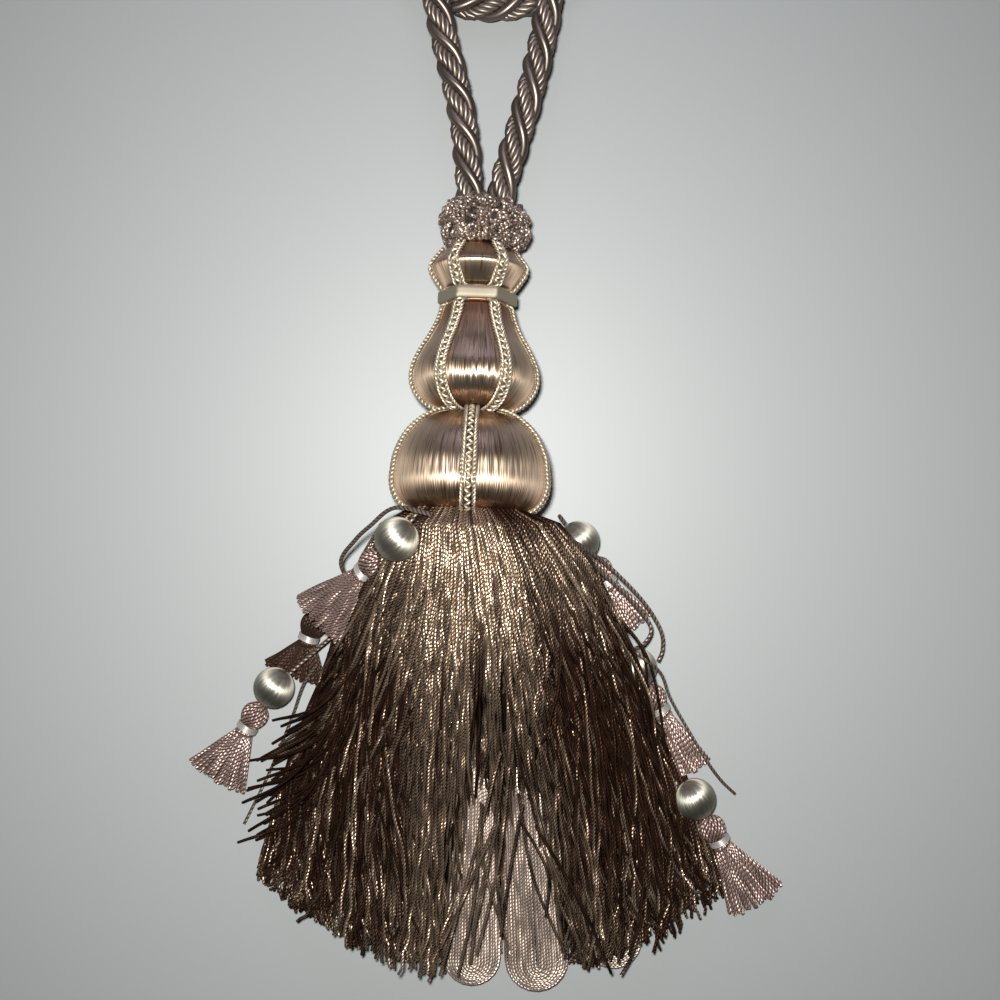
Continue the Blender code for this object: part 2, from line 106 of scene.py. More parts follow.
FINE_CORDS = {
    # node: diameter, how its far end is finished, and its route
    "drop_cord_left_upper": (1.6, None, [(-22.3, 34.4, 57.4), (-24.4, 31.4, 57.0)]),
    "drop_cord_left_middle": (1.6, "object", [
        (-35.4, 29.0, 30.0), (-42.0, 21.0, 21.0), (-50.5, 11.0, 13.5), (-56.1, 6.4, 9.6)]),
    "drop_cord_left_lower": (1.6, "object", [
        (-17.0, 34.0, 58.6), (-30.7, 36.2, 49.0), (-40.5, 29.5, 40.0), (-47.0, 24.0, 32.0),
        (-53.5, 15.5, 23.0), (-50.2, 5.0, 15.5), (-49.6, -4.0, 11.0), (-54.5, -11.0, 9.6),
        (-61.0, -16.2, 9.4), (-67.5, -21.8, 9.0), (-75.4, -28.8, 8.6)]),
    "drop_cord_right_upper": (1.6, None, [(29.6, 33.0, 18.0), (32.2, 29.6, 15.2)]),
    "drop_cord_right_middle": (1.6, "object", [
        (31.5, 25.5, 34.0), (43.8, 17.3, 22.0), (52.9, 9.5, 18.0), (63.0, -1.3, 14.0),
        (69.6, -12.0, 10.5), (70.6, -19.5, 8.6), (68.9, -24.4, 8.0)]),
    "drop_cord_right_lower": (1.6, "object", [
        (30.0, 22.6, 40.0), (41.5, 14.6, 24.5), (50.5, 7.0, 19.0), (60.0, -2.6, 14.6),
        (65.6, -11.0, 12.4), (62.4, -17.0, 14.0), (56.0, -19.5, 17.0), (52.6, -26.5, 16.5),
        (54.2, -34.0, 12.0), (60.2, -41.5, 8.0), (66.6, -53.5, 6.4), (72.3, -64.0, 6.0),
        (76.4, -73.0, 7.4)]),
    "loose_thread_left": (1.2, "bare", [
        (-64.8, -25.5, 11.0), (-70.4, -33.5, 7.0), (-75.2, -46.0, 2.6), (-80.8, -59.6, 0.9),
        (-86.6, -73.0, 0.8), (-95.1, -90.1, 0.8)]),
    "loose_thread_right": (1.2, "bare", [
        (55.6, -17.0, 19.5), (63.0, -22.6, 18.4), (69.0, -28.0, 15.0), (72.8, -37.4, 11.8),
        (78.2, -47.1, 9.4), (87.8, -63.0, 8.4), (94.0, -71.5, 5.0), (100.6, -78.2, 0.8)]),
}

# Side tassels: bead centre, head centre, middle of the fan's end, half width there, in mm.
DROPS = {
    "left_upper": ((-29.6, 25.2, 52.5), (-39.6, 16.0, 38.5), (-62.9, -7.0, 20.5), 12.5),
    "left_middle": ((-60.2, -1.6, 7.9), (-66.6, -10.4, 5.6), (-74.6, -31.0, 3.3), 13.5),
    "left_lower": ((-81.8, -34.6, 7.9), (-90.1, -46.2, 5.1), (-105.7, -71.4, 3.3), 13.5),
    "right_upper": ((37.6, 23.0, 12.0), (46.0, 11.3, 7.0), (60.5, -10.5, 3.3), 8.0),
    "right_middle": ((60.4, -26.9, 7.9), (67.4, -39.2, 5.1), (83.2, -67.6, 3.3), 8.0),
    "right_lower": ((83.6, -78.3, 7.9), (90.8, -90.8, 5.1), (108.6, -120.5, 3.3), 12.5),
}

# Skirt rows, from SKIRT_TOP of the way down on, in mm.
SKIRT_TOP = 0.07
SKIRT_ROWS = [
    # y_left, x_left, y_right, x_right, sag, crest, side, keel, and how peaked the row is
    (30.0, -36.0, 30.0, 27.5, 0.0, 55.0, 28.0, 28.0, 0.85),
    (16.0, -45.0, 16.0, 40.0, 0.0, 54.8, 22.0, 24.0, 1.0),
    (0.0, -51.5, 0.0, 48.5, 0.0, 53.5, 15.0, 17.0, 1.3),
    (-16.0, -57.0, -16.0, 55.0, 2.0, 51.0, 11.0, 14.0, 1.6),
    (-32.0, -62.0, -32.0, 61.0, 4.0, 46.0, 8.0, 10.0, 1.8),
    (-52.0, -69.5, -52.0, 69.0, 6.0, 39.5, 6.0, 7.0, 1.9),
    (-74.0, -76.5, -74.0, 78.0, 10.0, 31.0, 4.6, 4.6, 1.9),
    (-92.0, -81.0, -94.0, 85.0, 17.0, 23.5, 3.6, 3.6, 1.8),
    (-104.0, -84.0, -108.0, 90.0, 26.0, 19.0, 3.0, 3.0, 1.6),
    (-112.0, -85.5, -116.0, 92.0, 32.0, 16.5, 2.6, 2.6, 1.4),
]
HANKS = {
    # x and y of the round end, width, height, in mm
    "hank_far_left": (-57.0, -131.0, 20.0, 6.5),
    "hank_left": (-32.5, -143.0, 23.0, 9.5),
    "hank_middle": (-4.5, -152.0, 23.0, 11.5),
    "hank_right": (22.0, -154.6, 26.0, 11.5),
    "hank_far_right": (53.5, -146.0, 23.0, 7.0),
}
# The hanks: where their yarns would meet, then length, spacing of the loops and layers, in mm.
HANK_APEX = np.array([2.0, 176.0])
HANK_LENGTH = 100.0
HANK_PITCH = 1.12
HANK_LAYERS = 3
# How high their upper ends rise at most, where across the skirt, and how far from there none does.
HANK_RISE, HANK_HIGHEST, HANK_RISE_REACH = 34.0, 9.0, 66.0
# The fringe: locks of yarn that hang together, short yarns under the ball given painted shade,
# and yarns come loose.
LOCKS = 110
SHADED_COLLAR_YARNS = 130
LEFT_STRAYS, RIGHT_STRAYS, CROSSING_STRAYS = 64, 16, 13
YARN_SHARES = np.linspace(0.0, 1.0, 42)
# The place across the skirt where its yarns are painted palest, as painted highlight, and how far
# from it no yarn is painted pale, in mm; the sides get painted shade.
PAINTED_LIGHT_MIDDLE, PAINTED_LIGHT_REACH = -3.0, 28.0
# Painted light and shade along Y, each as two places and the share of pale added at each:
# painted shade lower down, a painted highlight over the top of the fringe, a painted highlight
# near the tips, and painted shade just under the ball.
SKIRT_PAINTED_LIGHT = ((-0.070, 0.000, -0.22, 0.0), (-0.035, 0.022, 0.0, 0.42),
               (-0.132, -0.062, 0.36, 0.0), (0.022, 0.034, 0.0, -0.48))
# Its darkest yarn tone, as shares of the skirt's tone: the painted shade at its sides and lower
# down.
SKIRT_PAINTED_SHADE = (0.066, 0.045, 0.040)
# Where the fringe starts to part over the hanks (share of the way down), and how deep, in mm.
PARTING_START, PARTING_DEPTH = 0.47, 14.0
# Each yarn starts its twist at its own place, and twists unevenly, by turns a metre.
TWIST_START, TWIST_CHANGE, UNEVEN_TWIST = 0.618, 0.377, 60.0
# The braids, in mm: strands of the edge cords and the zigzag (radius, swing, length of a turn).
EDGE_STRAND = (0.38, 0.42, 3.0)
ZIGZAG_STRAND = (0.40, 0.90, 2.9)
# Small tassels, in mm: the head's profile, where the fan starts, and the rings of the tie band.
KNOB_PROFILE = [(-5.7, 0.3), (-4.6, 2.2), (-2.6, 4.2), (0.0, 4.75), (2.6, 3.9), (4.4, 2.9),
                (7.4, 2.9), (8.6, 3.4)]
KNOB_YARNS = 24
FAN_START = 7.2
FAN_LAYERS = (22, 22, 18)
TIE_RINGS, TIE_START, TIE_PITCH = 4, 4.5, 0.6
TIE_WIDE, TIE_TALL = 3.9, 3.5

# The stage: what the camera is over, and each lamp's place, size and tone.
CAMERA_OVER = (6.9 * MM, 39.0 * MM)
FLOOR_TONE = (0.290, 0.307, 0.305, 1.0)
SKY_TONE = (0.93, 0.96, 1.0, 1.0)
KEY_LAMP = ((-0.010, 0.068, 0.470), 0.03, (1.0, 0.985, 0.96))
COOL_LAMP = ((0.02, 0.62, 0.36), 0.32, (0.80, 0.74, 1.0))
LAMP_AIM = (0.0, 0.0, 0.02)
# The weak clear gloss of all yarns, over their own metallic one.
YARN_IOR, YARN_SPECULAR = 1.25, 0.1
YARN_SPECULAR_TINT = (0.35, 0.27, 0.22, 1.0)


def colour(name, what, value):
    return FloatVectorProperty(name=name, description=what, subtype="COLOR", size=3, min=0, max=1,
                               default=value)


def length(name, what, value):
    return FloatProperty(name=name, description=what, unit="LENGTH", default=value, min=0.00001)


class RopeSettings(bpy.types.PropertyGroup):
    diameter: length("Rope diameter", "Over all strands", 11.3 * MM)
    lay: length("Lay", "Length of one full turn of the strands", 34.5 * MM)
    thick_radius: length("Thick strand", "Radius of each smooth strand", 1.95 * MM)
    fine_radius: length("Fine cord", "Radius of each fine cord", 1.16 * MM)
    fine_reach: length("Fine bundle", "Radius of a bundle of four fine cords", 2.75 * MM)
    fine_lay: length("Bundle lay", "Length of one turn of a bundle", 10.0 * MM)
    tone: colour("Rope", "Tone of the smooth strands", (0.235, 0.195, 0.168))
    fine_tone: colour("Fine cords", "Tone of the fine cords", (0.31, 0.26, 0.225))


class HeadSettings(bpy.types.PropertyGroup):
    satin: colour("Satin", "Tone of the satin threads", (0.50, 0.385, 0.285))
    # Painted reflection and shade: the warmer, darker tone towards both ends of each satin piece.
    satin_painted_ends: colour("Satin, ends", "Tone where the threads draw together", (0.30, 0.165, 0.095))
    braid: colour("Braid", "Champagne braid", (0.66, 0.58, 0.46))
    braid_width: length("Braid width", "Width of the plaited braid", 5.0 * MM)
    band: colour("Neck band", "Cream wound band", (0.56, 0.50, 0.385))
    ruff: colour("Ruff", "Crimped gimp", (0.80, 0.65, 0.55))


class SkirtSettings(bpy.types.PropertyGroup):
    yarn_radius: length("Yarn radius", "Radius of one bullion yarn", 0.56 * MM)
    yarns: IntProperty(name="Yarns", description="Bullion yarns in the skirt", default=1500, min=50)
    twist: length("Twist", "Length of one turn of the two plies", 3.0 * MM)
    tone: colour("Skirt", "Tone of the fringe", (0.86, 0.655, 0.475))
    # Painted shade: the dark tone in the grooves between the plies of the skirt's yarns; half of it
    # colours the skirt's core.
    hollow_shade: colour("Skirt, hollows", "Tone between the plies", (0.012, 0.0055, 0.0035))
    pale: colour("Hanks", "Tone of the inner loops", (0.95, 0.80, 0.68))


class DropSettings(bpy.types.PropertyGroup):
    bead_radius: length("Bead radius", "Radius of a satin bead", 8.0 * MM)
    bead: colour("Bead", "Champagne and olive satin", (0.47, 0.45, 0.37))
    tuft: colour("Small tassels", "Rose mauve yarn", (0.92, 0.71, 0.63))
    # Painted shade: a dark copy of the small tassels' yarn, for the one that lies in shade.
    tuft_shaded: colour("Dark small tassel", "Brown yarn of the one in shade", (0.14, 0.085, 0.06))
    tie: colour("Tie bands", "Silver white binding thread", (0.55, 0.53, 0.50))


class StageSettings(bpy.types.PropertyGroup):
    camera_height: length("Camera height", "Above the surface", 0.460)
    lens: FloatProperty(name="Lens", description="Focal length in mm", default=41.47, min=1)
    key_power: FloatProperty(name="Key light", description="Power in watts", default=4.15, min=0)
    rim_power: FloatProperty(name="Cool light", description="Power in watts", default=0.62, min=0)
    fill: FloatProperty(name="Fill light", description="Strength of the sky", default=0.012, min=0)


# ---- Curves and frames ------------------------------------------------------------

def run_along(line):
    """The distance along a line, from its start to each of its points."""
    return np.concatenate([[0], np.cumsum(np.linalg.norm(np.diff(line, axis=0), axis=1))])


def smooth_route(points, step):
    """Points about a step apart on a smooth curve through the route points."""
    points = np.asarray(points, float)
    last = len(points) - 1
    fine = []
    for i in range(last):
        a, b, c, d = (points[max(0, min(last, i + k))] for k in (-1, 0, 1, 2))
        for share in np.arange(12) / 12:
            fine.append(0.5 * (2 * b + (c - a) * share + (2 * a - 5 * b + 4 * c - d) * share ** 2
                               + (3 * b - a - 3 * c + d) * share ** 3))
    line = np.array(fine + [points[-1]])
    run = run_along(line)
    goal = np.linspace(0, run[-1], max(2, round(run[-1] / step)) + 1)
    return np.stack([np.interp(goal, run, line[:, k]) for k in range(3)], axis=1)


def fine_profile(profile, step=0.6):
    flat = [(d, r, 0.0) for d, r in profile]
    return smooth_route(flat, step)[:, :2]


def unit(v):
    return v / np.maximum(np.linalg.norm(v, axis=-1, keepdims=True), 1e-12)


def carried_frames(line):
    """Two side directions, carried along the line with no twist of their own."""
    tangents = unit(np.gradient(line, axis=0))
    side = np.cross(tangents[0], (0.0, 0.0, 1.0))
    sides = []
    for tangent in tangents:
        side = unit(side - tangent * np.dot(side, tangent))
        sides.append(side)
    sides = np.array(sides)
    return sides, np.cross(sides, tangents)


def level_axes(way):
    """A direction, and the level and the rising direction square to it."""
    along = unit(way)
    across = unit(np.cross(along, (0.0, 0.0, 1.0)))
    return along, across, np.cross(across, along)


def round_angles(count, start=0.0):
    return start + 2 * np.pi * np.arange(count) / count


def spokes(first, second, angles):
    """Directions at angles from the first direction towards the second."""
    return first * np.cos(angles)[..., None] + second * np.sin(angles)[..., None]


def lifted(points, lowest):
    """The points, with none below a height."""
    points[..., 2] = np.maximum(points[..., 2], lowest)
    return points


ALONG, RIGHT, UP = level_axes(np.array([math.tan(HEAD_LEAN), 1.0, -math.tan(HEAD_DIP)]))


def head_point(distance, radius, angle):
    """Points round the head's axis, in mm and radians; the angle runs from the top to +X."""
    distance, radius, angle = np.broadcast_arrays(distance, radius, angle)
    out = spokes(UP, RIGHT, angle) * radius[..., None] * MM
    return lifted(HEAD_CENTRE + ALONG * distance[..., None] * MM + out, 0.0)


# ---- Node trees -------------------------------------------------------------------

class Nodes:
    """Short ways to build a node tree; a feed is a constant or an output of another node."""

    def __init__(self, tree):
        self.tree = tree

    def feed(self, source, target):
        if hasattr(source, "is_linked"):
            self.tree.links.new(source, target)
        else:
            target.default_value = source

    def add(self, kind, feeds=None, **values):
        node = self.tree.nodes.new(kind)
        for key, value in values.items():
            setattr(node, key, value)
        for socket, source in (feeds or {}).items():
            self.feed(source, node.inputs[socket])
        return node

    def math(self, operation, *values):
        return self.add("ShaderNodeMath", dict(enumerate(values)), operation=operation).outputs[0]

    def split(self, vector):
        return self.add("ShaderNodeSeparateXYZ", {0: vector}).outputs


class Look(Nodes):
    """A material and its nodes."""

    def __init__(self, name):
        self.material = bpy.data.materials.new(name)
        self.material.use_nodes = True
        super().__init__(self.material.node_tree)
        self.shader = self.tree.nodes["Principled BSDF"]

    def surface(self, **feeds):
        """Feeds for the shader's own sockets, named with _ for a space."""
        for name, source in feeds.items():
            self.feed(source, self.shader.inputs[name.replace("_", " ")])

    def vector(self, operation, first, second=None):
        feeds = {0: first}
        if second is not None:
            feeds["Scale" if operation == "SCALE" else 1] = second
        return self.add("ShaderNodeVectorMath", feeds, operation=operation).outputs["Vector"]

    def mix(self, share, a, b):
        a, b = (tone if hasattr(tone, "is_linked") else (*tone, 1.0) for tone in (a, b))
        feeds = {"Factor": share, "A": a, "B": b}
        return self.add("ShaderNodeMix", feeds, data_type="RGBA").outputs["Result"]

    def ramp(self, value, low, high, to_low=0.0, to_high=1.0):
        feeds = dict(enumerate((value, low, high, to_low, to_high)))
        return self.add("ShaderNodeMapRange", feeds).outputs["Result"]

    def attribute(self, name, output):
        return self.add("ShaderNodeAttribute", attribute_name=name).outputs[output]

    def place(self):
        return self.add("ShaderNodeTexCoord").outputs["Object"]

    def own_map(self):
        return self.add("ShaderNodeUVMap", uv_map="UVMap").outputs["UV"]

    def outward(self):
        return self.add("ShaderNodeNewGeometry").outputs["Normal"]

    def noise(self, vector, scale, detail=2.0):
        feeds = {"Vector": vector, "Scale": scale, "Detail": detail}
        return self.add("ShaderNodeTexNoise", feeds).outputs["Fac"]

    def scaled(self, vector, scale):
        return self.add("ShaderNodeMapping", {"Vector": vector, "Scale": scale}).outputs["Vector"]

    def tipped(self, outward, way, amount):
        """The outward direction, tipped along a way."""
        return self.vector("NORMALIZE", self.vector("ADD", outward,
                                                    self.vector("SCALE", way, amount)))

    def bump(self, height, distance, base=None):
        feeds = {"Height": height, "Distance": distance}
        if base is not None:
            feeds["Normal"] = base
        self.surface(Normal=self.add("ShaderNodeBump", feeds).outputs["Normal"])


# ---- Meshes -----------------------------------------------------------------------

def link(name, data):
    piece = bpy.data.objects.new(name, data)
    bpy.context.scene.collection.objects.link(piece)
    return piece


def grid_piece(name, rows, material, uv=None):
    """A closed skin through rings of points, capped at its ends; U goes round, V is each ring's."""
    rows = np.asarray(rows)
    count, sides = rows.shape[:2]
    mesh = bmesh.new()
    verts = [[mesh.verts.new(p) for p in row] for row in rows]
    layer = mesh.loops.layers.uv.new("UVMap")

    def add_face(corners, spots):
        face = mesh.faces.new(corners)
        face.smooth = True
        if uv is not None:
            for loop, (around, row) in zip(face.loops, spots):
                loop[layer].uv = (around / sides, uv[row])

    for i in range(count - 1):
        for j in range(sides):
            k = (j + 1) % sides
            add_face((verts[i][j], verts[i][k], verts[i + 1][k], verts[i + 1][j]),
                     ((j, i), (j + 1, i), (j + 1, i + 1), (j, i + 1)))
    for i in (0, count - 1):
        centre = mesh.verts.new(rows[i].mean(axis=0))
        for j in range(sides):
            add_face((verts[i][j], verts[i][(j + 1) % sides], centre),
                     ((j, i), (j + 1, i), (j + 0.5, i)))
    bmesh.ops.recalc_face_normals(mesh, faces=mesh.faces)
    data = bpy.data.meshes.new(name)
    mesh.to_mesh(data)
    mesh.free()
    data.materials.append(material)
    return link(name, data)


def yarn_tree():
    """Geometry Nodes: a round yarn on each guide line, with its twist and its direction kept."""
    tree = bpy.data.node_groups.new("Yarn on guides", "GeometryNodeTree")
    for name, kind in (("Guides", "Geometry"), ("Radius", "Float"), ("Sides", "Int"),
                       ("Twist length", "Float"), ("Material", "Material")):
        tree.interface.new_socket(name, in_out="INPUT", socket_type="NodeSocket" + kind)
    tree.interface.new_socket("Yarn", in_out="OUTPUT", socket_type="NodeSocketGeometry")
    made = Nodes(tree)
    given = made.add("NodeGroupInput").outputs

    def keep(geometry, *values):
        """The geometry with values kept on it, each given as a kind, a name and its source."""
        node = made.add("GeometryNodeCaptureAttribute", {"Geometry": geometry})
        for kind, key, _ in values:
            node.capture_items.new(kind, key)
        for _, key, source in values:
            made.feed(source, node.inputs[key])
        return node.outputs

    def store(geometry, key, value):
        feeds = {"Geometry": geometry, "Name": key, "Value": value}
        return made.add("GeometryNodeStoreNamedAttribute", feeds, data_type="FLOAT_VECTOR",
                        domain="POINT").outputs["Geometry"]

    def stored(key):
        return made.add("GeometryNodeInputNamedAttribute", {"Name": key}).outputs["Attribute"]

    curve = made.add("GeometryNodeMeshToCurve", {"Mesh": given["Guides"]}).outputs["Curve"]
    line = keep(curve, ("FLOAT", "Run", made.add("GeometryNodeSplineParameter").outputs["Length"]),
                ("VECTOR", "Way", made.add("GeometryNodeInputTangent").outputs["Tangent"]))
    circle = made.add("GeometryNodeCurvePrimitiveCircle",
                      {"Resolution": given["Sides"], "Radius": given["Radius"]}).outputs["Curve"]
    ring = keep(circle, ("VECTOR", "Spoke",
                         made.add("GeometryNodeInputPosition").outputs["Position"]))
    yarn = made.add("GeometryNodeCurveToMesh", {
        "Curve": line["Geometry"], "Profile Curve": ring["Geometry"], "Scale": stored("thick"),
        "Fill Caps": True}).outputs["Mesh"]
    spoke = made.split(ring["Spoke"])
    turns = made.math("DIVIDE", line["Run"], given["Twist length"])
    spot = made.add("ShaderNodeCombineXYZ", {
        "X": made.math("DIVIDE", spoke["X"], given["Radius"]),
        "Y": made.math("DIVIDE", spoke["Y"], given["Radius"]),
        "Z": made.math("ADD", turns, stored("phase"))}).outputs[0]
    yarn = store(store(yarn, "ring", spot), "way", line["Way"])
    for kind in ("SetShadeSmooth", "RealizeInstances"):
        yarn = made.add("GeometryNode" + kind, {"Geometry": yarn}).outputs["Geometry"]
    yarn = made.add("GeometryNodeSetMaterial", {"Geometry": yarn, "Material": given["Material"]})
    made.add("NodeGroupOutput", {"Yarn": yarn.outputs["Geometry"]})
    return tree


def guide_mesh(name, lines, thick, shade, closed):
    """Guide lines as loose edges, with thickness, colour share and twist phase on each point."""
    counts = [len(line) for line in lines]
    starts = np.concatenate([[0], np.cumsum(counts)[:-1]])
    edges = []
    for start, count in zip(starts, counts):
        ids = np.arange(start, start + count)
        edges.append(np.stack([ids[:-1], ids[1:]], axis=1))
        if closed:
            edges.append(np.array([[ids[-1], ids[0]]]))
    edges = np.concatenate(edges)
    data = bpy.data.meshes.new(name)
    data.vertices.add(sum(counts))
    data.edges.add(len(edges))
    data.vertices.foreach_set("co", np.concatenate(lines).astype(np.float32).ravel())
    data.edges.foreach_set("vertices", edges.astype(np.int32).ravel())
    phases = []
    for k, line in enumerate(lines):
        uneven = (TWIST_CHANGE * k % 1.0 - 0.5) * UNEVEN_TWIST
        phases.append(TWIST_START * k % 1.0 + uneven * run_along(line))
    values = {"thick": np.repeat(thick, counts), "shade": np.repeat(shade, counts),
              "phase": np.concatenate(phases)}
    for key, value in values.items():
        layer = data.attributes.new(key, "FLOAT", "POINT")
        layer.data.foreach_set("value", value.astype(np.float32))
    data.update()
    return data


def yarn_piece(name, lines, radius, material, twist=3.4 * MM, sides=4, thick=None, shade=None,
               closed=False):
    """One plain mesh of yarns that follow the guide lines."""
    thick = np.ones(len(lines)) if thick is None else thick
    shade = np.linspace(0, 1, len(lines)) if shade is None else shade
    guide = link(name + "_guides", guide_mesh(name + "_guides", lines, thick, shade, closed))
    tree = bpy.data.node_groups.get("Yarn on guides") or yarn_tree()
    modifier = guide.modifiers.new("Yarn", "NODES")
    modifier.node_group = tree
    given = {"Radius": radius, "Sides": sides, "Twist length": twist, "Material": material}
    for item in tree.interface.items_tree:
        if item.in_out == "INPUT" and item.name in given:
            modifier[item.identifier] = given[item.name]
    graph = bpy.context.evaluated_depsgraph_get()
    data = bpy.data.meshes.new_from_object(guide.evaluated_get(graph), depsgraph=graph,
                                           preserve_all_data_layers=True)
    data.name = name
    bpy.data.objects.remove(guide)
    if not len(data.polygons):
        raise RuntimeError(name + " came out with no faces")
    return link(name, data)


def ride(piece, *replaced, slot=None):
    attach(piece, "root")
    if replaced:
        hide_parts(*replaced)
    return piece


# ---- Materials --------------------------------------------------------------------

def darker(tone, share):
    """A tone times a share, or times one share for each of red, green and blue."""
    return [c * float(s) for c, s in zip(tone, np.broadcast_to(share, 3))]


def yarn_material(name, dark, light, metallic=0.95, roughness=0.54, depth=0.08 * MM, valley_shade=None,
                  handed=1.0, lean=0.35, spread=0.85, crest=(0.30, 0.80), ragged=0.22, painted_light_fades=()):
    """Twisted two-ply yarn, glossy along its fibres, with painted shade in the grooves between its
    plies.

    Its own tone lies between dark and light by the yarn's shade, a soft cloud and the painted light
    and shade along Y; darker yarns get narrower plies, as painted shade. The plies lean, and ragged
    tips the gloss of each short stretch its own way.
    """
    made = Look(name)
    place, shade = made.place(), made.attribute("shade", "Fac")
    share = made.math("ADD", made.math("MULTIPLY", shade, 0.85),
                      made.ramp(made.noise(place, 60.0), 0.0, 1.0, -0.2, 0.2))
    # Painted light and shade: each of these lightens or darkens the tone by place along Y.
    for fade in painted_light_fades:
        share = made.math("ADD", share, made.ramp(made.split(place)["Y"], *fade))
    ring = made.split(made.attribute("ring", "Vector"))
    around = made.math("ARCTAN2", ring["Y"], ring["X"])
    turn = made.math("MULTIPLY", ring["Z"], 2 * math.pi * handed)
    height = made.math("ABSOLUTE", made.math("COSINE", made.math("ADD", around, turn)))
    body = made.mix(share, dark, light)
    made.surface(Base_Color=body, Roughness=roughness, Metallic=metallic, IOR=YARN_IOR,
                 Specular_Tint=YARN_SPECULAR_TINT, Specular_IOR_Level=YARN_SPECULAR)
    # Painted shade: in the grooves between the plies the tone turns dark, with less metal gloss.
    if valley_shade is not None:
        # Painted shade: the darker the yarn's tone, the narrower its plies and the wider the dark
        # grooves.
        narrow = made.ramp(share, 0.0, 1.0, -0.26, 0.0)
        ply = made.ramp(made.math("ADD", height, narrow), *crest)
        made.surface(Base_Color=made.mix(ply, valley_shade, body),
                     Metallic=made.math("MULTIPLY", ply, metallic))
    way, outward = made.attribute("way", "Vector"), made.outward()
    stretch = made.add("ShaderNodeCombineXYZ", {"X": made.math("MULTIPLY", shade, 400.0),
                                                "Y": made.math("MULTIPLY", ring["Z"], 0.30)})
    tip = made.ramp(made.noise(stretch.outputs[0], 1.0, 1.0), 0.25, 0.75, -ragged, ragged)
    made.bump(height, depth, made.tipped(outward, way, tip))
    around_way = made.vector("CROSS_PRODUCT", way, outward)
    across = made.vector("ADD", made.vector("SCALE", around_way, math.cos(lean)),
                         made.vector("SCALE", way, handed * math.sin(lean)))
    made.surface(Tangent=across, Anisotropic=spread)
    return made.material


def satin_material(name, painted_ends, middle, threads, run, ragged=0.11, roughness=0.45, metallic=0.97,
                   rib=0.03 * MM):
    """Wound satin: fine threads that run lengthwise, each leaning a little its own way."""
    made = Look(name)
    where, outward = made.own_map(), made.outward()
    fine = made.noise(made.scaled(where, (threads, run, 1.0)), 1.0, 3.0)
    lean = made.noise(made.scaled(where, (threads * 1.1, run * 1.3, 1.0)), 1.0, 1.0)
    from_middle = made.math("ABSOLUTE", made.math("SUBTRACT", made.split(where)["Y"], 0.5))
    # Painted reflection and shade: towards both ends the tone turns to the warmer, darker end tone.
    body = made.mix(made.ramp(from_middle, 0.22, 0.46), middle, painted_ends)
    across = made.add("ShaderNodeTangent", direction_type="UV_MAP", uv_map="UVMap").outputs[0]
    lengthwise = made.vector("CROSS_PRODUCT", across, outward)
    tip = made.ramp(lean, 0.30, 0.70, -ragged, ragged)
    made.bump(fine, rib, made.tipped(outward, lengthwise, tip))
    # Painted shade: the low spots between the fine threads take a darker end tone.
    made.surface(Base_Color=made.mix(made.ramp(fine, 0.32, 0.50), darker(painted_ends, 0.6), body),
                 Roughness=roughness, Metallic=metallic, Tangent=across, Anisotropic=0.84)
    return made.material


def ribbon_material(name, tone):
    """Flat gimp ribbon: a fine slanting weave with painted shade in its grooves, and soft gloss."""
    made = Look(name)
    where = made.own_map()
    spot = made.split(where)
    slant = made.math("ADD", made.math("MULTIPLY", spot["X"], 2 * math.pi * 84),
                      made.math("MULTIPLY", spot["Y"], 2 * math.pi * 5))
    weave = made.math("ABSOLUTE", made.math("SINE", slant))
    cloud = made.noise(made.scaled(where, (90.0, 14.0, 1.0)), 1.0)
    body = made.mix(cloud, darker(tone, 0.75), tone)
    made.bump(weave, 0.07 * MM)
    # Painted shade: the grooves of the weave take a much darker tone.
    made.surface(Base_Color=made.mix(made.ramp(weave, 0.15, 0.85), darker(tone, 0.3), body),
                 Roughness=0.60, Metallic=1.0)
    return made.material


def painted_shade_core(name, tone):
    """Painted shade: the dark inside that shows only between yarns, where shade falls."""
    made = Look(name)
    cloud = made.noise(made.scaled(made.place(), (900.0, 60.0, 900.0)), 1.0)
    made.bump(cloud, 0.3 * MM)
    made.surface(Base_Color=made.mix(cloud, darker(tone, 0.4), tone), Roughness=0.75,
                 Metallic=0.0, IOR=1.15)
    return made.material


# ---- Operators --------------------------------------------------------------------

class TASSEL_OT_stage(bpy.types.Operator):
    """Pale floor, soft lights and the camera above"""
    bl_idname = "tassel.stage"
    bl_label = "Stage"

    def execute(self, context):
        settings = context.scene.tassel_stage
        bpy.ops.mesh.primitive_plane_add(size=6.0)
        floor = context.active_object
        floor.name = "floor"
        look = Look("pale_floor")
        look.surface(Base_Color=FLOOR_TONE, Roughness=0.5, Metallic=0.0, IOR=1.5)
        floor.data.materials.append(look.material)
        camera = link("camera", bpy.data.cameras.new("camera"))
        camera.location = (*CAMERA_OVER, settings.camera_height)
        camera.data.lens = settings.lens
        camera.data.sensor_width = 36.0
        context.scene.camera = camera
        self.lamp("key", settings.key_power, *KEY_LAMP)
        self.lamp("cool", settings.rim_power, *COOL_LAMP)
        world = bpy.data.worlds.new("studio")
        world.use_nodes = True
        sky = world.node_tree.nodes["Background"]
        sky.inputs["Color"].default_value = SKY_TONE
        sky.inputs["Strength"].default_value = settings.fill
        context.scene.world = world
        context.scene.view_settings.view_transform = "Standard"
        return {"FINISHED"}

    def lamp(self, name, power, spot, size, tone):
        light = bpy.data.lights.new(name, "AREA")
        light.shape = "DISK"
        light.size = size
        light.energy = power
        light.color = tone
        lamp = link(name, light)
        lamp.location = spot
        aim = Vector(LAMP_AIM) - Vector(spot)
        lamp.rotation_euler = aim.to_track_quat("-Z", "Y").to_euler()


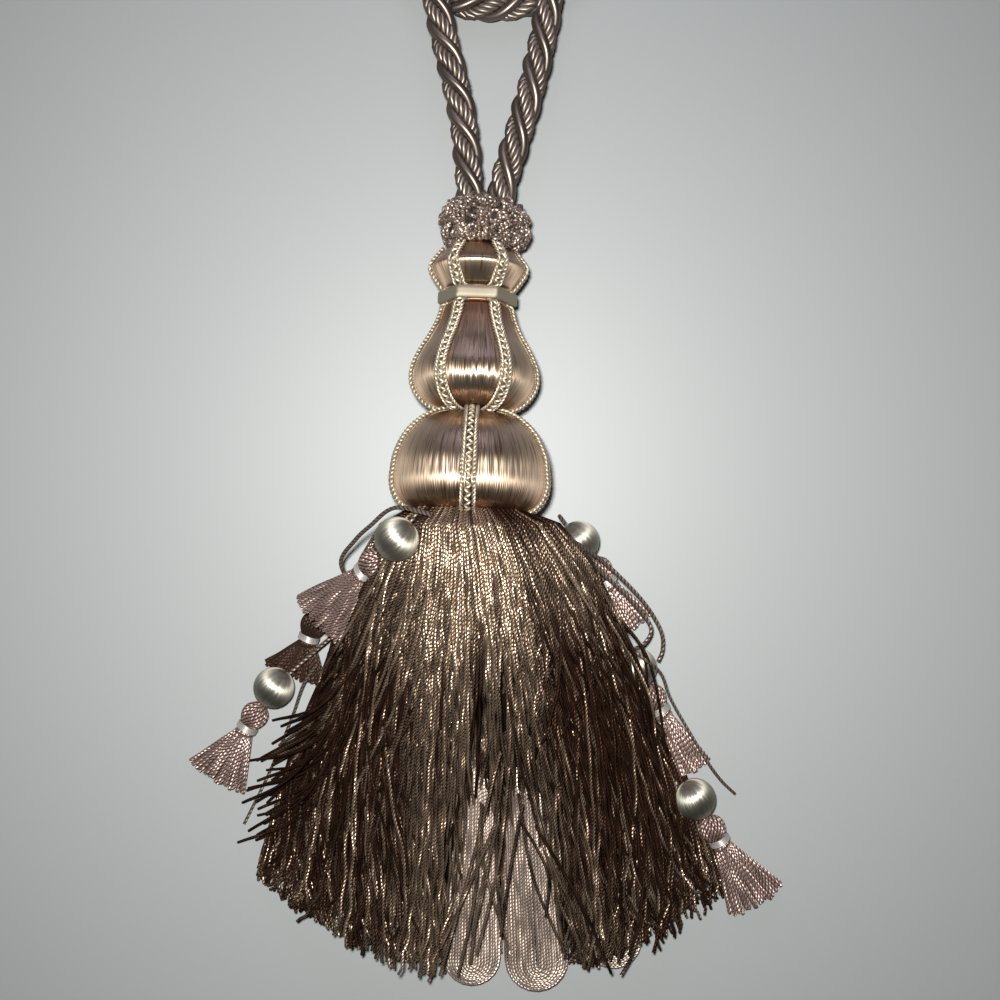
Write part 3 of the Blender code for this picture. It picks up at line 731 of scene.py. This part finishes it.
class TASSEL_OT_rope(bpy.types.Operator):
    """Twisted rope: two smooth strands and two bundles of fine cords"""
    bl_idname = "tassel.rope"
    bl_label = "Rope"

    def execute(self, context):
        settings = context.scene.tassel_rope
        route = smooth_route(np.array(ROPE_ROUTE) * MM, 1.4 * MM)
        run, frames = run_along(route), carried_frames(route)
        turns, half = run / settings.lay, settings.diameter / 2
        smooth = [self.wound(route, frames, half - settings.thick_radius, turns, start)
                  for start in (0.0, math.pi)]
        fine = []
        for start in (0.5 * math.pi, 1.5 * math.pi):
            middle = self.wound(route, frames, half - settings.fine_reach, turns, start)
            bundle = carried_frames(middle)
            fine += [self.wound(middle, bundle, settings.fine_reach - settings.fine_radius,
                                -run / settings.fine_lay, math.pi * k / 2) for k in range(4)]
        rope = self.strands("smooth", smooth, settings.thick_radius, settings.tone, 0.40,
                            9 * MM, 12)
        cords = self.strands("fine", fine, settings.fine_radius, settings.fine_tone, 0.46,
                             5 * MM, 7)
        # Painted shade: a very dark core shows between the strands.
        inside = painted_shade_core("rope_inside", darker(settings.tone, 0.06))
        core = yarn_piece("rope_core", [route], 2.6 * MM, inside, sides=8)
        ride(rope, "rope", slot="rope_yarn")
        ride(cords, slot="rope_yarn")
        ride(core, slot="rope_yarn")
        return {"FINISHED"}

    def wound(self, line, frames, radius, turns, start):
        """A line that winds round another at a radius, counted in turns from an angle."""
        return line + spokes(*frames, start + 2 * math.pi * turns) * radius

    def strands(self, kind, lines, radius, tone, roughness, twist, sides):
        look = yarn_material("rope_" + kind, darker(tone, 0.8), tone, metallic=0.92,
                             roughness=roughness, depth=0.01 * MM, spread=0.45,
                             lean=math.pi / 2, ragged=0.1)
        return yarn_piece(f"rope_{kind}_strands", lines, radius, look, twist=twist, sides=sides)


class TASSEL_OT_fine_cords(bpy.types.Operator):
    """Cords of the side tassels, and loose threads"""
    bl_idname = "tassel.fine_cords"
    bl_label = "Fine cords"

    def execute(self, context):
        rose = yarn_material("fine_cord_rose", (0.30, 0.25, 0.21), (0.50, 0.43, 0.37), metallic=0.9,
                             valley_shade=(0.035, 0.025, 0.02), roughness=0.48, lean=0.6, handed=-1.0)
        for node, (diameter, far_end, points) in FINE_CORDS.items():
            route = smooth_route(np.array(points) * MM, 0.9 * MM)
            piece = yarn_piece(node + "_yarn", [route], diameter / 2 * MM, rose, twist=3.6 * MM,
                               sides=8)
            ride(piece, node, slot="fine_cord")
        return {"FINISHED"}


class TASSEL_OT_head(bpy.types.Operator):
    """Ball, pear and crown wound with satin, and the neck band"""
    bl_idname = "tassel.head"
    bl_label = "Satin head"

    def execute(self, context):
        settings = context.scene.tassel_head
        for name, profile, threads, ragged in (("ball", BALL_PROFILE, 420, 0.12),
                                               ("pear", PEAR_PROFILE, 330, 0.12),
                                               ("crown", NECK_PROFILE + CROWN_PROFILE, 250, 0.04)):
            satin = satin_material(name + "_satin", settings.satin_painted_ends, settings.satin, threads,
                                   3.0, ragged=ragged)
            angles = round_angles(144, np.pi)
            rows = [head_point(d, r, angles) for d, r in fine_profile(profile)]
            piece = grid_piece(name + "_satin", rows, satin, uv=np.linspace(0, 1, len(rows)))
            ride(piece, name, slot="satin_winding")
        ride(self.neck_band(settings), "neck_band", slot="neck_gimp")
        return {"FINISHED"}

    def neck_band(self, settings):
        """A flat band pulled straight from braid to braid."""
        angles = round_angles(96, np.pi)
        corner = math.pi / 6
        bend = np.abs((angles + corner) % (2 * corner) - corner)
        reach = NECK_BAND_REACH * np.cos(corner) / np.cos(bend)
        rows = [head_point(NECK_MIDDLE + along, reach + lift, angles)
                for along, lift in NECK_BAND_SECTION]
        look = ribbon_material("neck_band_ribbon", settings.band)
        return grid_piece("neck_band_ribbon", rows, look, uv=np.linspace(0, 1, len(rows)))


class TASSEL_OT_braids(bpy.types.Operator):
    """Braids over the head: a twisted cord at each edge and a zigzag between them"""
    bl_idname = "tassel.braids"
    bl_label = "Braids"

    def execute(self, context):
        settings = context.scene.tassel_head
        # Painted shade: the darkest braid tone goes to the underlay strand, so the gaps between the
        # cords read dark.
        look = yarn_material("braid_yarn", darker(settings.braid, (0.30, 0.26, 0.20)),
                             settings.braid, metallic=0.86, depth=0.03 * MM, roughness=0.56,
                             lean=0.2, spread=0.6)
        width = settings.braid_width / MM
        long_profile = PEAR_PROFILE + NECK_PROFILE + CROWN_PROFILE[:-1]
        for kind, profile, angles, wide in (("ball", BALL_PROFILE, BALL_BRAID_ANGLES, 1.15 * width),
                                            ("long", long_profile, LONG_BRAID_ANGLES, width)):
            for angle in angles:
                side = "front" if angle == 0 else ("right" if angle > 0 else "left")
                self.braid(f"{kind}_braid_{side}_{abs(angle)}", profile, angle, wide, look)
        return {"FINISHED"}

    def braid(self, node, profile, angle, width, look):
        run, d, r, outward, pinch = self.path(profile)
        lines, thick, shade = [], [], []

        def lay(across, lift, radius, bright):
            lift = (0.35 + lift) * pinch
            lines.append(head_point(d + outward[:, 0] * lift, r + outward[:, 1] * lift,
                                    math.radians(angle) + across / np.maximum(r, 6.0)))
            thick.append(radius * MM)
            shade.append(bright)

        radius, swing, period = EDGE_STRAND
        for side in (-1, 1):
            for start in (0.0, math.pi):
                turn = 2 * np.pi * run / period * side + start
                lay(side * (width / 2 - 0.80) + swing * np.sin(turn),
                    0.80 + swing * np.cos(turn), radius, 0.9)
        radius, swing, period = ZIGZAG_STRAND
        turn = 2 * np.pi * run / period
        lay(swing * np.sin(turn), 1.15 + 0.25 * np.cos(turn * 2), radius, 1.4)
        # The underlay strand beneath the cords, given the darkest tone as painted shade.
        lay(0.0 * run, 0.0 * run, 1.00, -0.6)
        piece = yarn_piece(node + "_plait", lines, 1.0, look, twist=1.8 * MM, sides=6, thick=thick,
                           shade=shade)
        ride(piece, node, slot="braid_gimp")

    def path(self, profile, step=0.3):
        """Distance, radius, outward direction and how far the neck band presses, at even steps."""
        fine = fine_profile(profile, 0.15)
        run = run_along(fine)
        goal = np.arange(0, run[-1], step)
        d, r = np.interp(goal, run, fine[:, 0]), np.interp(goal, run, fine[:, 1])
        slope = unit(np.stack([np.gradient(d), np.gradient(r)], axis=1))
        outward = np.stack([np.convolve(np.pad(part, 3, "edge"), np.ones(7) / 7, "valid")
                            for part in (-slope[:, 1], slope[:, 0])], axis=1)
        return goal, d, r, outward, np.clip(np.abs(d - NECK_MIDDLE) / 4.0, 0.5, 1.0)


class TASSEL_OT_ruff(bpy.types.Operator):
    """Ring of crimped, looped gimp cords at the foot of the rope"""
    bl_idname = "tassel.ruff"
    bl_label = "Ruff"

    def execute(self, context):
        settings = context.scene.tassel_head
        look = yarn_material("ruff_gimp", darker(settings.ruff, 0.35), settings.ruff,
                             metallic=0.94, valley_shade=(0.035, 0.02, 0.015), roughness=0.52, lean=0.5,
                             crest=(0.2, 0.7), ragged=0.1)
        random = np.random.default_rng(17)
        lines = [self.curl(random, k / RUFF_CURLS) for k in range(RUFF_CURLS)]
        ruff = yarn_piece("ruff_loops", lines, 0.72 * MM, look, sides=6, closed=True,
                          shade=random.uniform(size=len(lines)))
        ride(ruff, "ruff", slot="ruff_gimp")
        angles = round_angles(60, np.pi)
        cores = [head_point(distance, radius, angles) + RUFF_SHIFT
                 for distance, radius in RUFF_CORE]
        # Painted shade: a very dark core shows between the curls.
        inside = painted_shade_core("ruff_inside", darker(settings.ruff, 0.06))
        ride(yarn_piece("ruff_core", cores, 2.7 * MM, inside, sides=8, closed=True),
             slot="ruff_gimp")
        return {"FINISHED"}

    def curl(self, random, share):
        """One small curl of gimp, tipped its own way, on the ring's surface."""
        around = np.pi + 2 * np.pi * (share * RUFF_TURNS % 1.0) + random.normal() * 0.05
        tip = -0.25 + 1.15 * np.pi * random.uniform()
        distance, radius = 90.6 + 6.6 * math.cos(tip), 11.0 + 3.6 * math.sin(tip)
        place = head_point(distance - 1.4 * max(0.0, math.sin(around)), radius, around)
        out = unit(RIGHT * math.sin(around) + UP * math.cos(around))
        side = np.cross(ALONG, out)
        first = unit(out + 0.5 * random.normal(size=3))
        second = unit(np.cross(first, ALONG * random.normal() + side * random.normal()))
        size = random.uniform(1.6, 3.0) * MM
        turn = round_angles(16)
        loop = place + spokes(first * size, second * (size * 0.75), turn)
        loop = loop + ALONG * (np.sin(2 * turn + random.uniform(0, 6))[:, None] * 0.35 * MM)
        return lifted(loop, 0.6 * MM) + RUFF_SHIFT


class Skirt:
    """The skirt's surface, from the rows of its table."""

    def __init__(self):
        self.rows = np.array(SKIRT_ROWS)
        self.spots = np.linspace(SKIRT_TOP, 1.0, len(self.rows))

    def row(self, t):
        t = np.clip(t, 0, 1.08)
        values = []
        for column in self.rows.T:
            inside = np.interp(t, self.spots, column)
            slope = (column[-1] - column[-2]) / (self.spots[-1] - self.spots[-2])
            values.append(inside + np.maximum(0, t - 1.0) * slope)
        return values

    def point(self, t, angle, depth=0.0, sink=0.0):
        """Points at a share t of the way down, at an angle over the top, some mm inside."""
        t, angle = np.broadcast_arrays(np.asarray(t, float), np.asarray(angle, float))
        y_left, x_left, y_right, x_right, sag, crest, side, keel, peak = self.row(t)
        across, rise = np.cos(angle), np.sin(angle)
        half, middle = (x_right - x_left) / 2, (x_right + x_left) / 2
        y = (y_right + y_left) / 2 + (y_right - y_left) / 2 * across - sag * (1 - across ** 2)
        upper = side + (crest - side) * np.abs(rise) ** peak
        lower = side - keel * np.abs(rise) ** 0.5
        z = np.where(rise >= 0, upper, lower) - depth * rise - sink * np.maximum(rise, 0)
        x = middle + (half - depth * 0.7) * across
        low = np.stack([x, y, np.maximum(z, 0.35)], axis=-1) * MM
        top = head_point(-17.6, 19.4 - depth * 0.6, np.pi / 2 - angle)
        blend = np.clip(t / SKIRT_TOP, 0, 1)[..., None]
        blend = blend * blend * (3 - 2 * blend)
        return top * (1 - blend) + low * blend


def wander(random, t, waves=3, size=1.0):
    """A smooth random wobble along t that starts at nothing."""
    total = np.zeros_like(t)
    for k in range(1, waves + 1):
        total += random.normal() / k * np.sin(t * math.pi * k * random.uniform(0.6, 1.4)
                                              + random.uniform(0, 6.28))
    return (total - total[0]) * size


def since(t, start, power=1.0):
    """Nothing up to a share of the way down, then rising to 1 at the end."""
    return np.clip((t - start) / (1 - start), 0, 1) ** power


class TASSEL_OT_skirt(bpy.types.Operator):
    """Bullion fringe of twisted yarns round a dark core of painted shade"""
    bl_idname = "tassel.skirt"
    bl_label = "Skirt"

    def execute(self, context):
        settings = context.scene.tassel_skirt
        skirt = Skirt()
        look = yarn_material("skirt_yarn", darker(settings.tone, SKIRT_PAINTED_SHADE), settings.tone,
                             metallic=0.985, roughness=0.44, depth=0.05 * MM,
                             valley_shade=settings.hollow_shade, handed=-1.0, lean=0.42, spread=0.9,
                             crest=(0.38, 0.88), ragged=0.70, painted_light_fades=SKIRT_PAINTED_LIGHT)
        random = np.random.default_rng(21)
        locks = [self.lock(random, k) for k in range(LOCKS)]
        lines = [self.yarn(skirt, random, locks[random.integers(LOCKS)])
                 for _ in range(settings.yarns)]
        lines += self.strays(random)
        shades = np.array([self.shade(random, line) for line in lines])
        parts = np.array_split(random.permutation(len(lines)), 4)
        for number, group in enumerate(parts, 1):
            piece = yarn_piece(f"skirt_yarns_{number}", [lines[i] for i in group],
                               settings.yarn_radius, look, twist=settings.twist,
                               shade=shades[group])
            ride(piece, *(["skirt_fringe"] if number == 1 else []), slot="skirt_yarn")
        self.core(skirt, settings)
        self.shaded_collar(skirt)
        return {"FINISHED"}

    def shade(self, random, line):
        """A share for each yarn: paler in the middle of the skirt as painted highlight, dark brown
        at its sides as painted shade, and mostly reversed at random for about a fifth of the yarns
        that start high.
        """
        side = abs(line[len(line) // 2, 0] / MM - PAINTED_LIGHT_MIDDLE)
        pale = np.clip(1.25 - side / PAINTED_LIGHT_REACH, 0.0, 1.0)
        if line[0, 2] > 20 * MM and random.uniform() < 0.20:
            pale = 0.80 - 0.5 * pale
        return float(pale + random.normal() * 0.15)

    def lock(self, random, number):
        """How one lock of yarns drifts: sideways, in depth, in length and in how it gathers."""
        t = YARN_SHARES
        loose = since(t, 0.18, 1.2)
        return {
            "place": (number + random.uniform()) / LOCKS * 1.06 - 0.03,
            "drift": wander(random, t, 3, 0.040) * loose,
            "depth": wander(random, t, 4, 2.4) * loose,
            "reach": 0.98 + random.normal() * 0.026,
            "gather": 1.0 - random.uniform(0.0, 0.75) * loose,
        }

    def yarn(self, skirt, random, lock):
        """One yarn: it starts under the ball, and drifts as it goes down."""
        t = YARN_SHARES
        loose = since(t, 0.12)
        depth = 6.0 * random.uniform() ** 1.4
        reach = lock["reach"] + random.normal() * 0.010 - 0.004 * depth
        offset = random.normal() * 0.8 / LOCKS
        own = wander(random, t, 4, 0.012)
        if random.uniform() < 0.27:  # a yarn that crosses its neighbours
            own = own + random.normal() * 0.08 * loose ** 1.5
            depth = random.uniform(-1.4, 1.0)
        own = own + 0.0032 * np.sin(t * 2 * math.pi / random.uniform(0.07, 0.13)
                                    + random.uniform(0, 6.28))
        across = lock["place"] + offset * lock["gather"] + lock["drift"] + own * loose
        if random.uniform() < 0.17:  # a yarn that falls away from the middle
            across = across + (across[0] - 0.48) * 1.1 * np.clip((t - 0.16) / 0.5, 0, 1) ** 1.3
            depth = random.uniform(-2.0, 0.4)
        sink = self.parting(t, across)
        if sink.max() > 6 and random.uniform() < 0.85:
            reach = reach * random.uniform(0.56, 0.72)
        across = np.clip(across, -0.05, 1.05)
        flat = np.arccos(1 - 2 * np.clip(across, 0, 1))
        angle = np.pi * across * (1 - t ** 0.6) + flat * t ** 0.6
        crimp = 2 * math.pi / random.uniform(0.085, 0.15)
        wave = wander(random, t, 4, 0.9) * loose
        wave = wave + 0.42 * loose * np.sin(t * crimp + random.uniform(0, 6.28))
        return skirt.point(t * reach, angle, depth - (lock["depth"] + wave) * 0.8 - 0.4, sink)

    def parting(self, t, across):
        """How far yarns sink below the pale loops in the middle, in mm."""
        below = since(t, PARTING_START)
        middle, half = 0.475 - 0.015 * below, 0.020 + 0.127 * below
        depth = PARTING_DEPTH * np.exp(-((across - middle) / half) ** 4)
        return depth * np.minimum(1, below * 2.0)

    def strays(self, random):
        """Yarns come away at the left, some that lie over the right beads, some over the hanks."""
        lines = []
        for share in np.linspace(0, 1, LEFT_STRAYS):
            start = np.array([-33.0 - 16 * share, 8.0 - 50 * share, 34.0 - 14 * share])
            start = start + random.normal(size=3) * 2.5
            end = np.array([-73.0 - 12 * share, -54.0 - 40 * share, 1.8])
            end[:2] = end[:2] + random.normal(size=2) * 5.5 - (5.0, 0.0)
            bow = np.array([random.normal() * 3.0 + 6, random.normal() * 3.0 - 8, 4.0])
            lines.append([start, (start + end) / 2 + bow, end])
        for _ in range(RIGHT_STRAYS):
            start = (34 + 10 * random.uniform(), 14 - 12 * random.uniform(), 30.0)
            over = (54 + 10 * random.uniform(), -26 + 8 * random.normal(), 18.5)
            end = (62 + 12 * random.uniform(), -64 - 16 * random.uniform(), 5.0)
            lines.append([start, over, end])
        for _ in range(CROSSING_STRAYS):
            x, lean = random.uniform(-14, 34), random.normal() * 16
            start = np.array([6.0 + 0.5 * x, -52.0 - 30 * random.uniform(), 40.0])
            end = np.array([x + lean, -118.0 - 28 * random.uniform(), 21.0 - 0.1 * abs(x)])
            middle = (start + end) / 2 + np.array([random.normal() * 3, 0.0, 1.0])
            lines.append([start, (*middle[:2], 31.0), end])
        return [smooth_route(np.array(line) * MM, 4 * MM) for line in lines]

    def shaded_collar(self, skirt):
        """Short yarns where the fringe is gathered under the ball, painted dark as the shade under
        it.
        """
        look = yarn_material("skirt_collar", (0.05, 0.035, 0.038), (0.16, 0.125, 0.135),
                             metallic=0.8, valley_shade=(0.012, 0.009, 0.010), handed=-1.0)
        random = np.random.default_rng(5)
        lines = [skirt.point(np.linspace(0.0, random.uniform(0.035, 0.075), 7),
                             np.pi * (k + random.uniform()) / SHADED_COLLAR_YARNS, -0.9)
                 for k in range(SHADED_COLLAR_YARNS)]
        piece = yarn_piece("skirt_collar", lines, 0.52 * MM, look, twist=3.0 * MM, sides=5,
                           shade=random.uniform(size=len(lines)))
        ride(piece, slot="skirt_yarn")

    def core(self, skirt, settings):
        """The dark inside of the fringe, down to where its yarns hang free: painted shade."""
        angles = round_angles(96)
        places = (1 - np.cos(angles)) / 2
        rows = [skirt.point(t, angles, 7.0 + 3.0 * t, self.parting(t, places) * 3.0)
                for t in np.linspace(0.0, 0.80, 40)]
        inside = painted_shade_core("skirt_inside", darker(settings.hollow_shade, 0.5))
        ride(grid_piece("skirt_core", rows, inside), slot="skirt_yarn")


class TASSEL_OT_hanks(bpy.types.Operator):
    """Pale inner loops whose round ends show below the fringe"""
    bl_idname = "tassel.hanks"
    bl_label = "Hanks"

    def execute(self, context):
        settings = context.scene.tassel_skirt
        look = yarn_material("hank_yarn", darker(settings.pale, 0.75), settings.pale,
                             metallic=0.88, roughness=0.54, lean=0.62, depth=0.06 * MM,
                             valley_shade=(0.06, 0.035, 0.028), crest=(0.2, 0.7), ragged=0.45,
                             handed=-1.0)
        random = np.random.default_rng(8)
        for node, (x_end, y_end, width, height) in HANKS.items():
            lines = self.loops(random, np.array([x_end, y_end]), width, height)
            piece = yarn_piece(node + "_loops", lines, 0.58 * MM, look, twist=3.0 * MM, sides=5,
                               shade=random.uniform(0.3, 1.0, size=len(lines)))
            ride(piece, node, slot="hank_yarn")
        return {"FINISHED"}

    def loops(self, random, end, width, height):
        """Long narrow loops one inside another; each turns round at its lower end."""
        along = unit(end - HANK_APEX)
        across = np.array([-along[1], along[0]])
        half = width / 2 - 0.6
        lift = HANK_RISE * max(0.0, 1 - abs(end[0] - HANK_HIGHEST) / HANK_RISE_REACH) ** 2
        straight = np.linspace(HANK_LENGTH, 0, 20)[:-1]
        bend = np.linspace(0, np.pi, 11)
        lines = []
        for layer in range(HANK_LAYERS):
            for radius in np.arange(0.7, half + 0.1, HANK_PITCH):
                radius = radius + random.normal() * 0.06
                back = np.concatenate([straight, -radius * np.sin(bend), straight[::-1]])
                side = np.concatenate([np.full(len(straight), -radius), -radius * np.cos(bend),
                                       np.full(len(straight), radius)])
                climb = np.clip(back / HANK_LENGTH, 0, 1)
                sway = 0.5 * np.sin(climb * 9 + layer * 2 + radius)
                aside = side * (1 - 0.35 * climb) + sway * climb
                spots = end - along * (half + back[:, None]) + across * aside[:, None]
                crown = 1 - (radius / (half + 1.0)) ** 2
                z = 1.4 + height * (0.25 + 0.75 * crown) - 1.25 * layer
                z = z + lift * climb * (0.6 + 0.4 * crown) - 60.0 * np.maximum(0, climb - 0.62) ** 2
                lines.append(lifted(np.column_stack([spots, z]), 0.65) * MM)
        return lines


class TASSEL_OT_beads(bpy.types.Operator):
    """Satin beads of the side tassels"""
    bl_idname = "tassel.beads"
    bl_label = "Beads"

    def execute(self, context):
        settings = context.scene.tassel_drops
        satin = satin_material("bead_satin", settings.bead, settings.bead, 130, 2.0,
                               roughness=0.52, metallic=0.95, rib=0.02 * MM, ragged=0.10)
        for name, (bead, head, _, _) in DROPS.items():
            centre, towards = np.array(bead) * MM, np.array(head) * MM
            along, across, up = level_axes((centre - towards) * (1.0, 1.0, 0.25))
            around = spokes(across, up, round_angles(56)) * settings.bead_radius
            rows = [lifted(centre + along * settings.bead_radius * math.cos(tilt)
                           + around * math.sin(tilt), 0.0)
                    for tilt in np.radians(np.linspace(9, 171, 36))]
            piece = grid_piece(f"bead_{name}_satin", rows, satin, uv=np.linspace(0, 1, len(rows)))
            ride(piece, "bead_" + name, slot="bead_winding")
        return {"FINISHED"}


class TASSEL_OT_small_tassels(bpy.types.Operator):
    """Small side tassels with their tie bands"""
    bl_idname = "tassel.small_tassels"
    bl_label = "Small tassels"

    def execute(self, context):
        settings = context.scene.tassel_drops
        rose = yarn_material("tuft_yarn", darker(settings.tuft, 0.65), settings.tuft,
                             metallic=0.94, valley_shade=(0.05, 0.024, 0.02), roughness=0.50,
                             lean=0.62, ragged=0.7, handed=-1.0)
        # Painted shade: the left middle small tassel, which lies in shade, gets a dark copy of the
        # rose yarn.
        dark = yarn_material("tuft_dark_yarn", darker(settings.tuft_shaded, 0.6),
                             settings.tuft_shaded, metallic=0.9, valley_shade=(0.02, 0.011, 0.009),
                             roughness=0.5, lean=0.5, handed=-1.0)
        thread = yarn_material("tie_thread", darker(settings.tie, 0.85), settings.tie,
                               metallic=0.6, depth=0.02 * MM, lean=0.1)
        random = np.random.default_rng(3)
        for name, (_, head, end, half) in DROPS.items():
            head, end = np.array(head), np.array(end)
            axes = level_axes(end - head)
            lines = self.knob(head, *axes) + self.fan(random, head, end, half, *axes)
            tassel = yarn_piece(f"small_tassel_{name}_yarn", lines, 0.62 * MM,
                                dark if name == "left_middle" else rose, twist=3.6 * MM, sides=6)
            ride(tassel, "small_tassel_" + name, slot="small_tassel_yarn")
            band = yarn_piece(f"tie_band_{name}_thread", self.tie(head, *axes), 0.42 * MM, thread,
                              twist=2 * MM, sides=6, closed=True)
            ride(band, "tie_band_" + name, slot="tie_thread")
        return {"FINISHED"}

    def knob(self, head, along, across, up):
        """Yarns over the round head, from its nub to the neck."""
        profile = fine_profile(KNOB_PROFILE, 0.9)
        return [lifted(head + along * profile[:, :1] + spoke * profile[:, 1:], 0.5) * MM
                for spoke in spokes(across, up, round_angles(KNOB_YARNS))]

    def fan(self, random, head, end, half, along, across, up):
        """Yarns in three layers that spread from the neck to the tassel's end."""
        reach = float(np.linalg.norm(end - head))
        t = np.linspace(0, 1, 12)
        wide = 2.6 + (half - 0.7 - 2.6) * t ** 0.95
        lines = []
        for layer, count in enumerate(FAN_LAYERS):
            for k in range(count):
                side = (k + 0.5) / count * 2 - 1 + random.normal() * 0.02
                far = reach + random.normal() * 0.5 - FAN_START - 1.2 * side * side
                level = (1.9 - 1.9 * layer) * (1 - side * side * 0.5)
                line = (head + along * (FAN_START + far * t)[:, None]
                        + across * (side * wide + wander(random, t, 2, 0.25) * t)[:, None]
                        + up * (level + 0.3 * np.sin(t * 3 + k) * t)[:, None])
                lines.append(lifted(line, 0.55) * MM)
        return lines

    def tie(self, head, along, across, up):
        """Rings of pale thread round the neck."""
        ring = spokes(across * TIE_WIDE, up * TIE_TALL, round_angles(32))
        return [lifted((head + along * (TIE_START + TIE_PITCH * k) + ring) * MM, 0.4 * MM)
                for k in range(TIE_RINGS)]


OPERATORS = (TASSEL_OT_stage, TASSEL_OT_rope, TASSEL_OT_fine_cords, TASSEL_OT_head,
             TASSEL_OT_braids, TASSEL_OT_ruff, TASSEL_OT_skirt, TASSEL_OT_hanks,
             TASSEL_OT_beads, TASSEL_OT_small_tassels)
SETTINGS = {"tassel_rope": RopeSettings, "tassel_head": HeadSettings, "tassel_skirt": SkirtSettings,
            "tassel_drops": DropSettings, "tassel_stage": StageSettings}


class TASSEL_PT_panel(bpy.types.Panel):
    """Settings and steps of the tassel"""
    bl_idname = "TASSEL_PT_panel"
    bl_label = "Tieback tassel"
    bl_space_type = "VIEW_3D"
    bl_region_type = "UI"
    bl_category = "Tassel"

    def draw(self, context):
        for name, group in SETTINGS.items():
            box = self.layout.box()
            for key in group.__annotations__:
                box.prop(getattr(context.scene, name), key)
        for operator in OPERATORS:
            self.layout.operator(operator.bl_idname)


def register():
    for group in SETTINGS.values():
        bpy.utils.register_class(group)
    for name, group in SETTINGS.items():
        setattr(bpy.types.Scene, name, PointerProperty(type=group))
    for operator in OPERATORS:
        bpy.utils.register_class(operator)
    bpy.utils.register_class(TASSEL_PT_panel)


def unregister():
    bpy.utils.unregister_class(TASSEL_PT_panel)
    for operator in reversed(OPERATORS):
        bpy.utils.unregister_class(operator)
    for name, group in SETTINGS.items():
        delattr(bpy.types.Scene, name)
        bpy.utils.unregister_class(group)


def main():
    register()
    bpy.ops.tassel.stage()
    bpy.ops.tassel.rope()
    bpy.ops.tassel.fine_cords()
    bpy.ops.tassel.head()
    bpy.ops.tassel.braids()
    bpy.ops.tassel.ruff()
    bpy.ops.tassel.skirt()
    bpy.ops.tassel.hanks()
    bpy.ops.tassel.beads()
    bpy.ops.tassel.small_tassels()


if __name__ == "__main__":
    main()
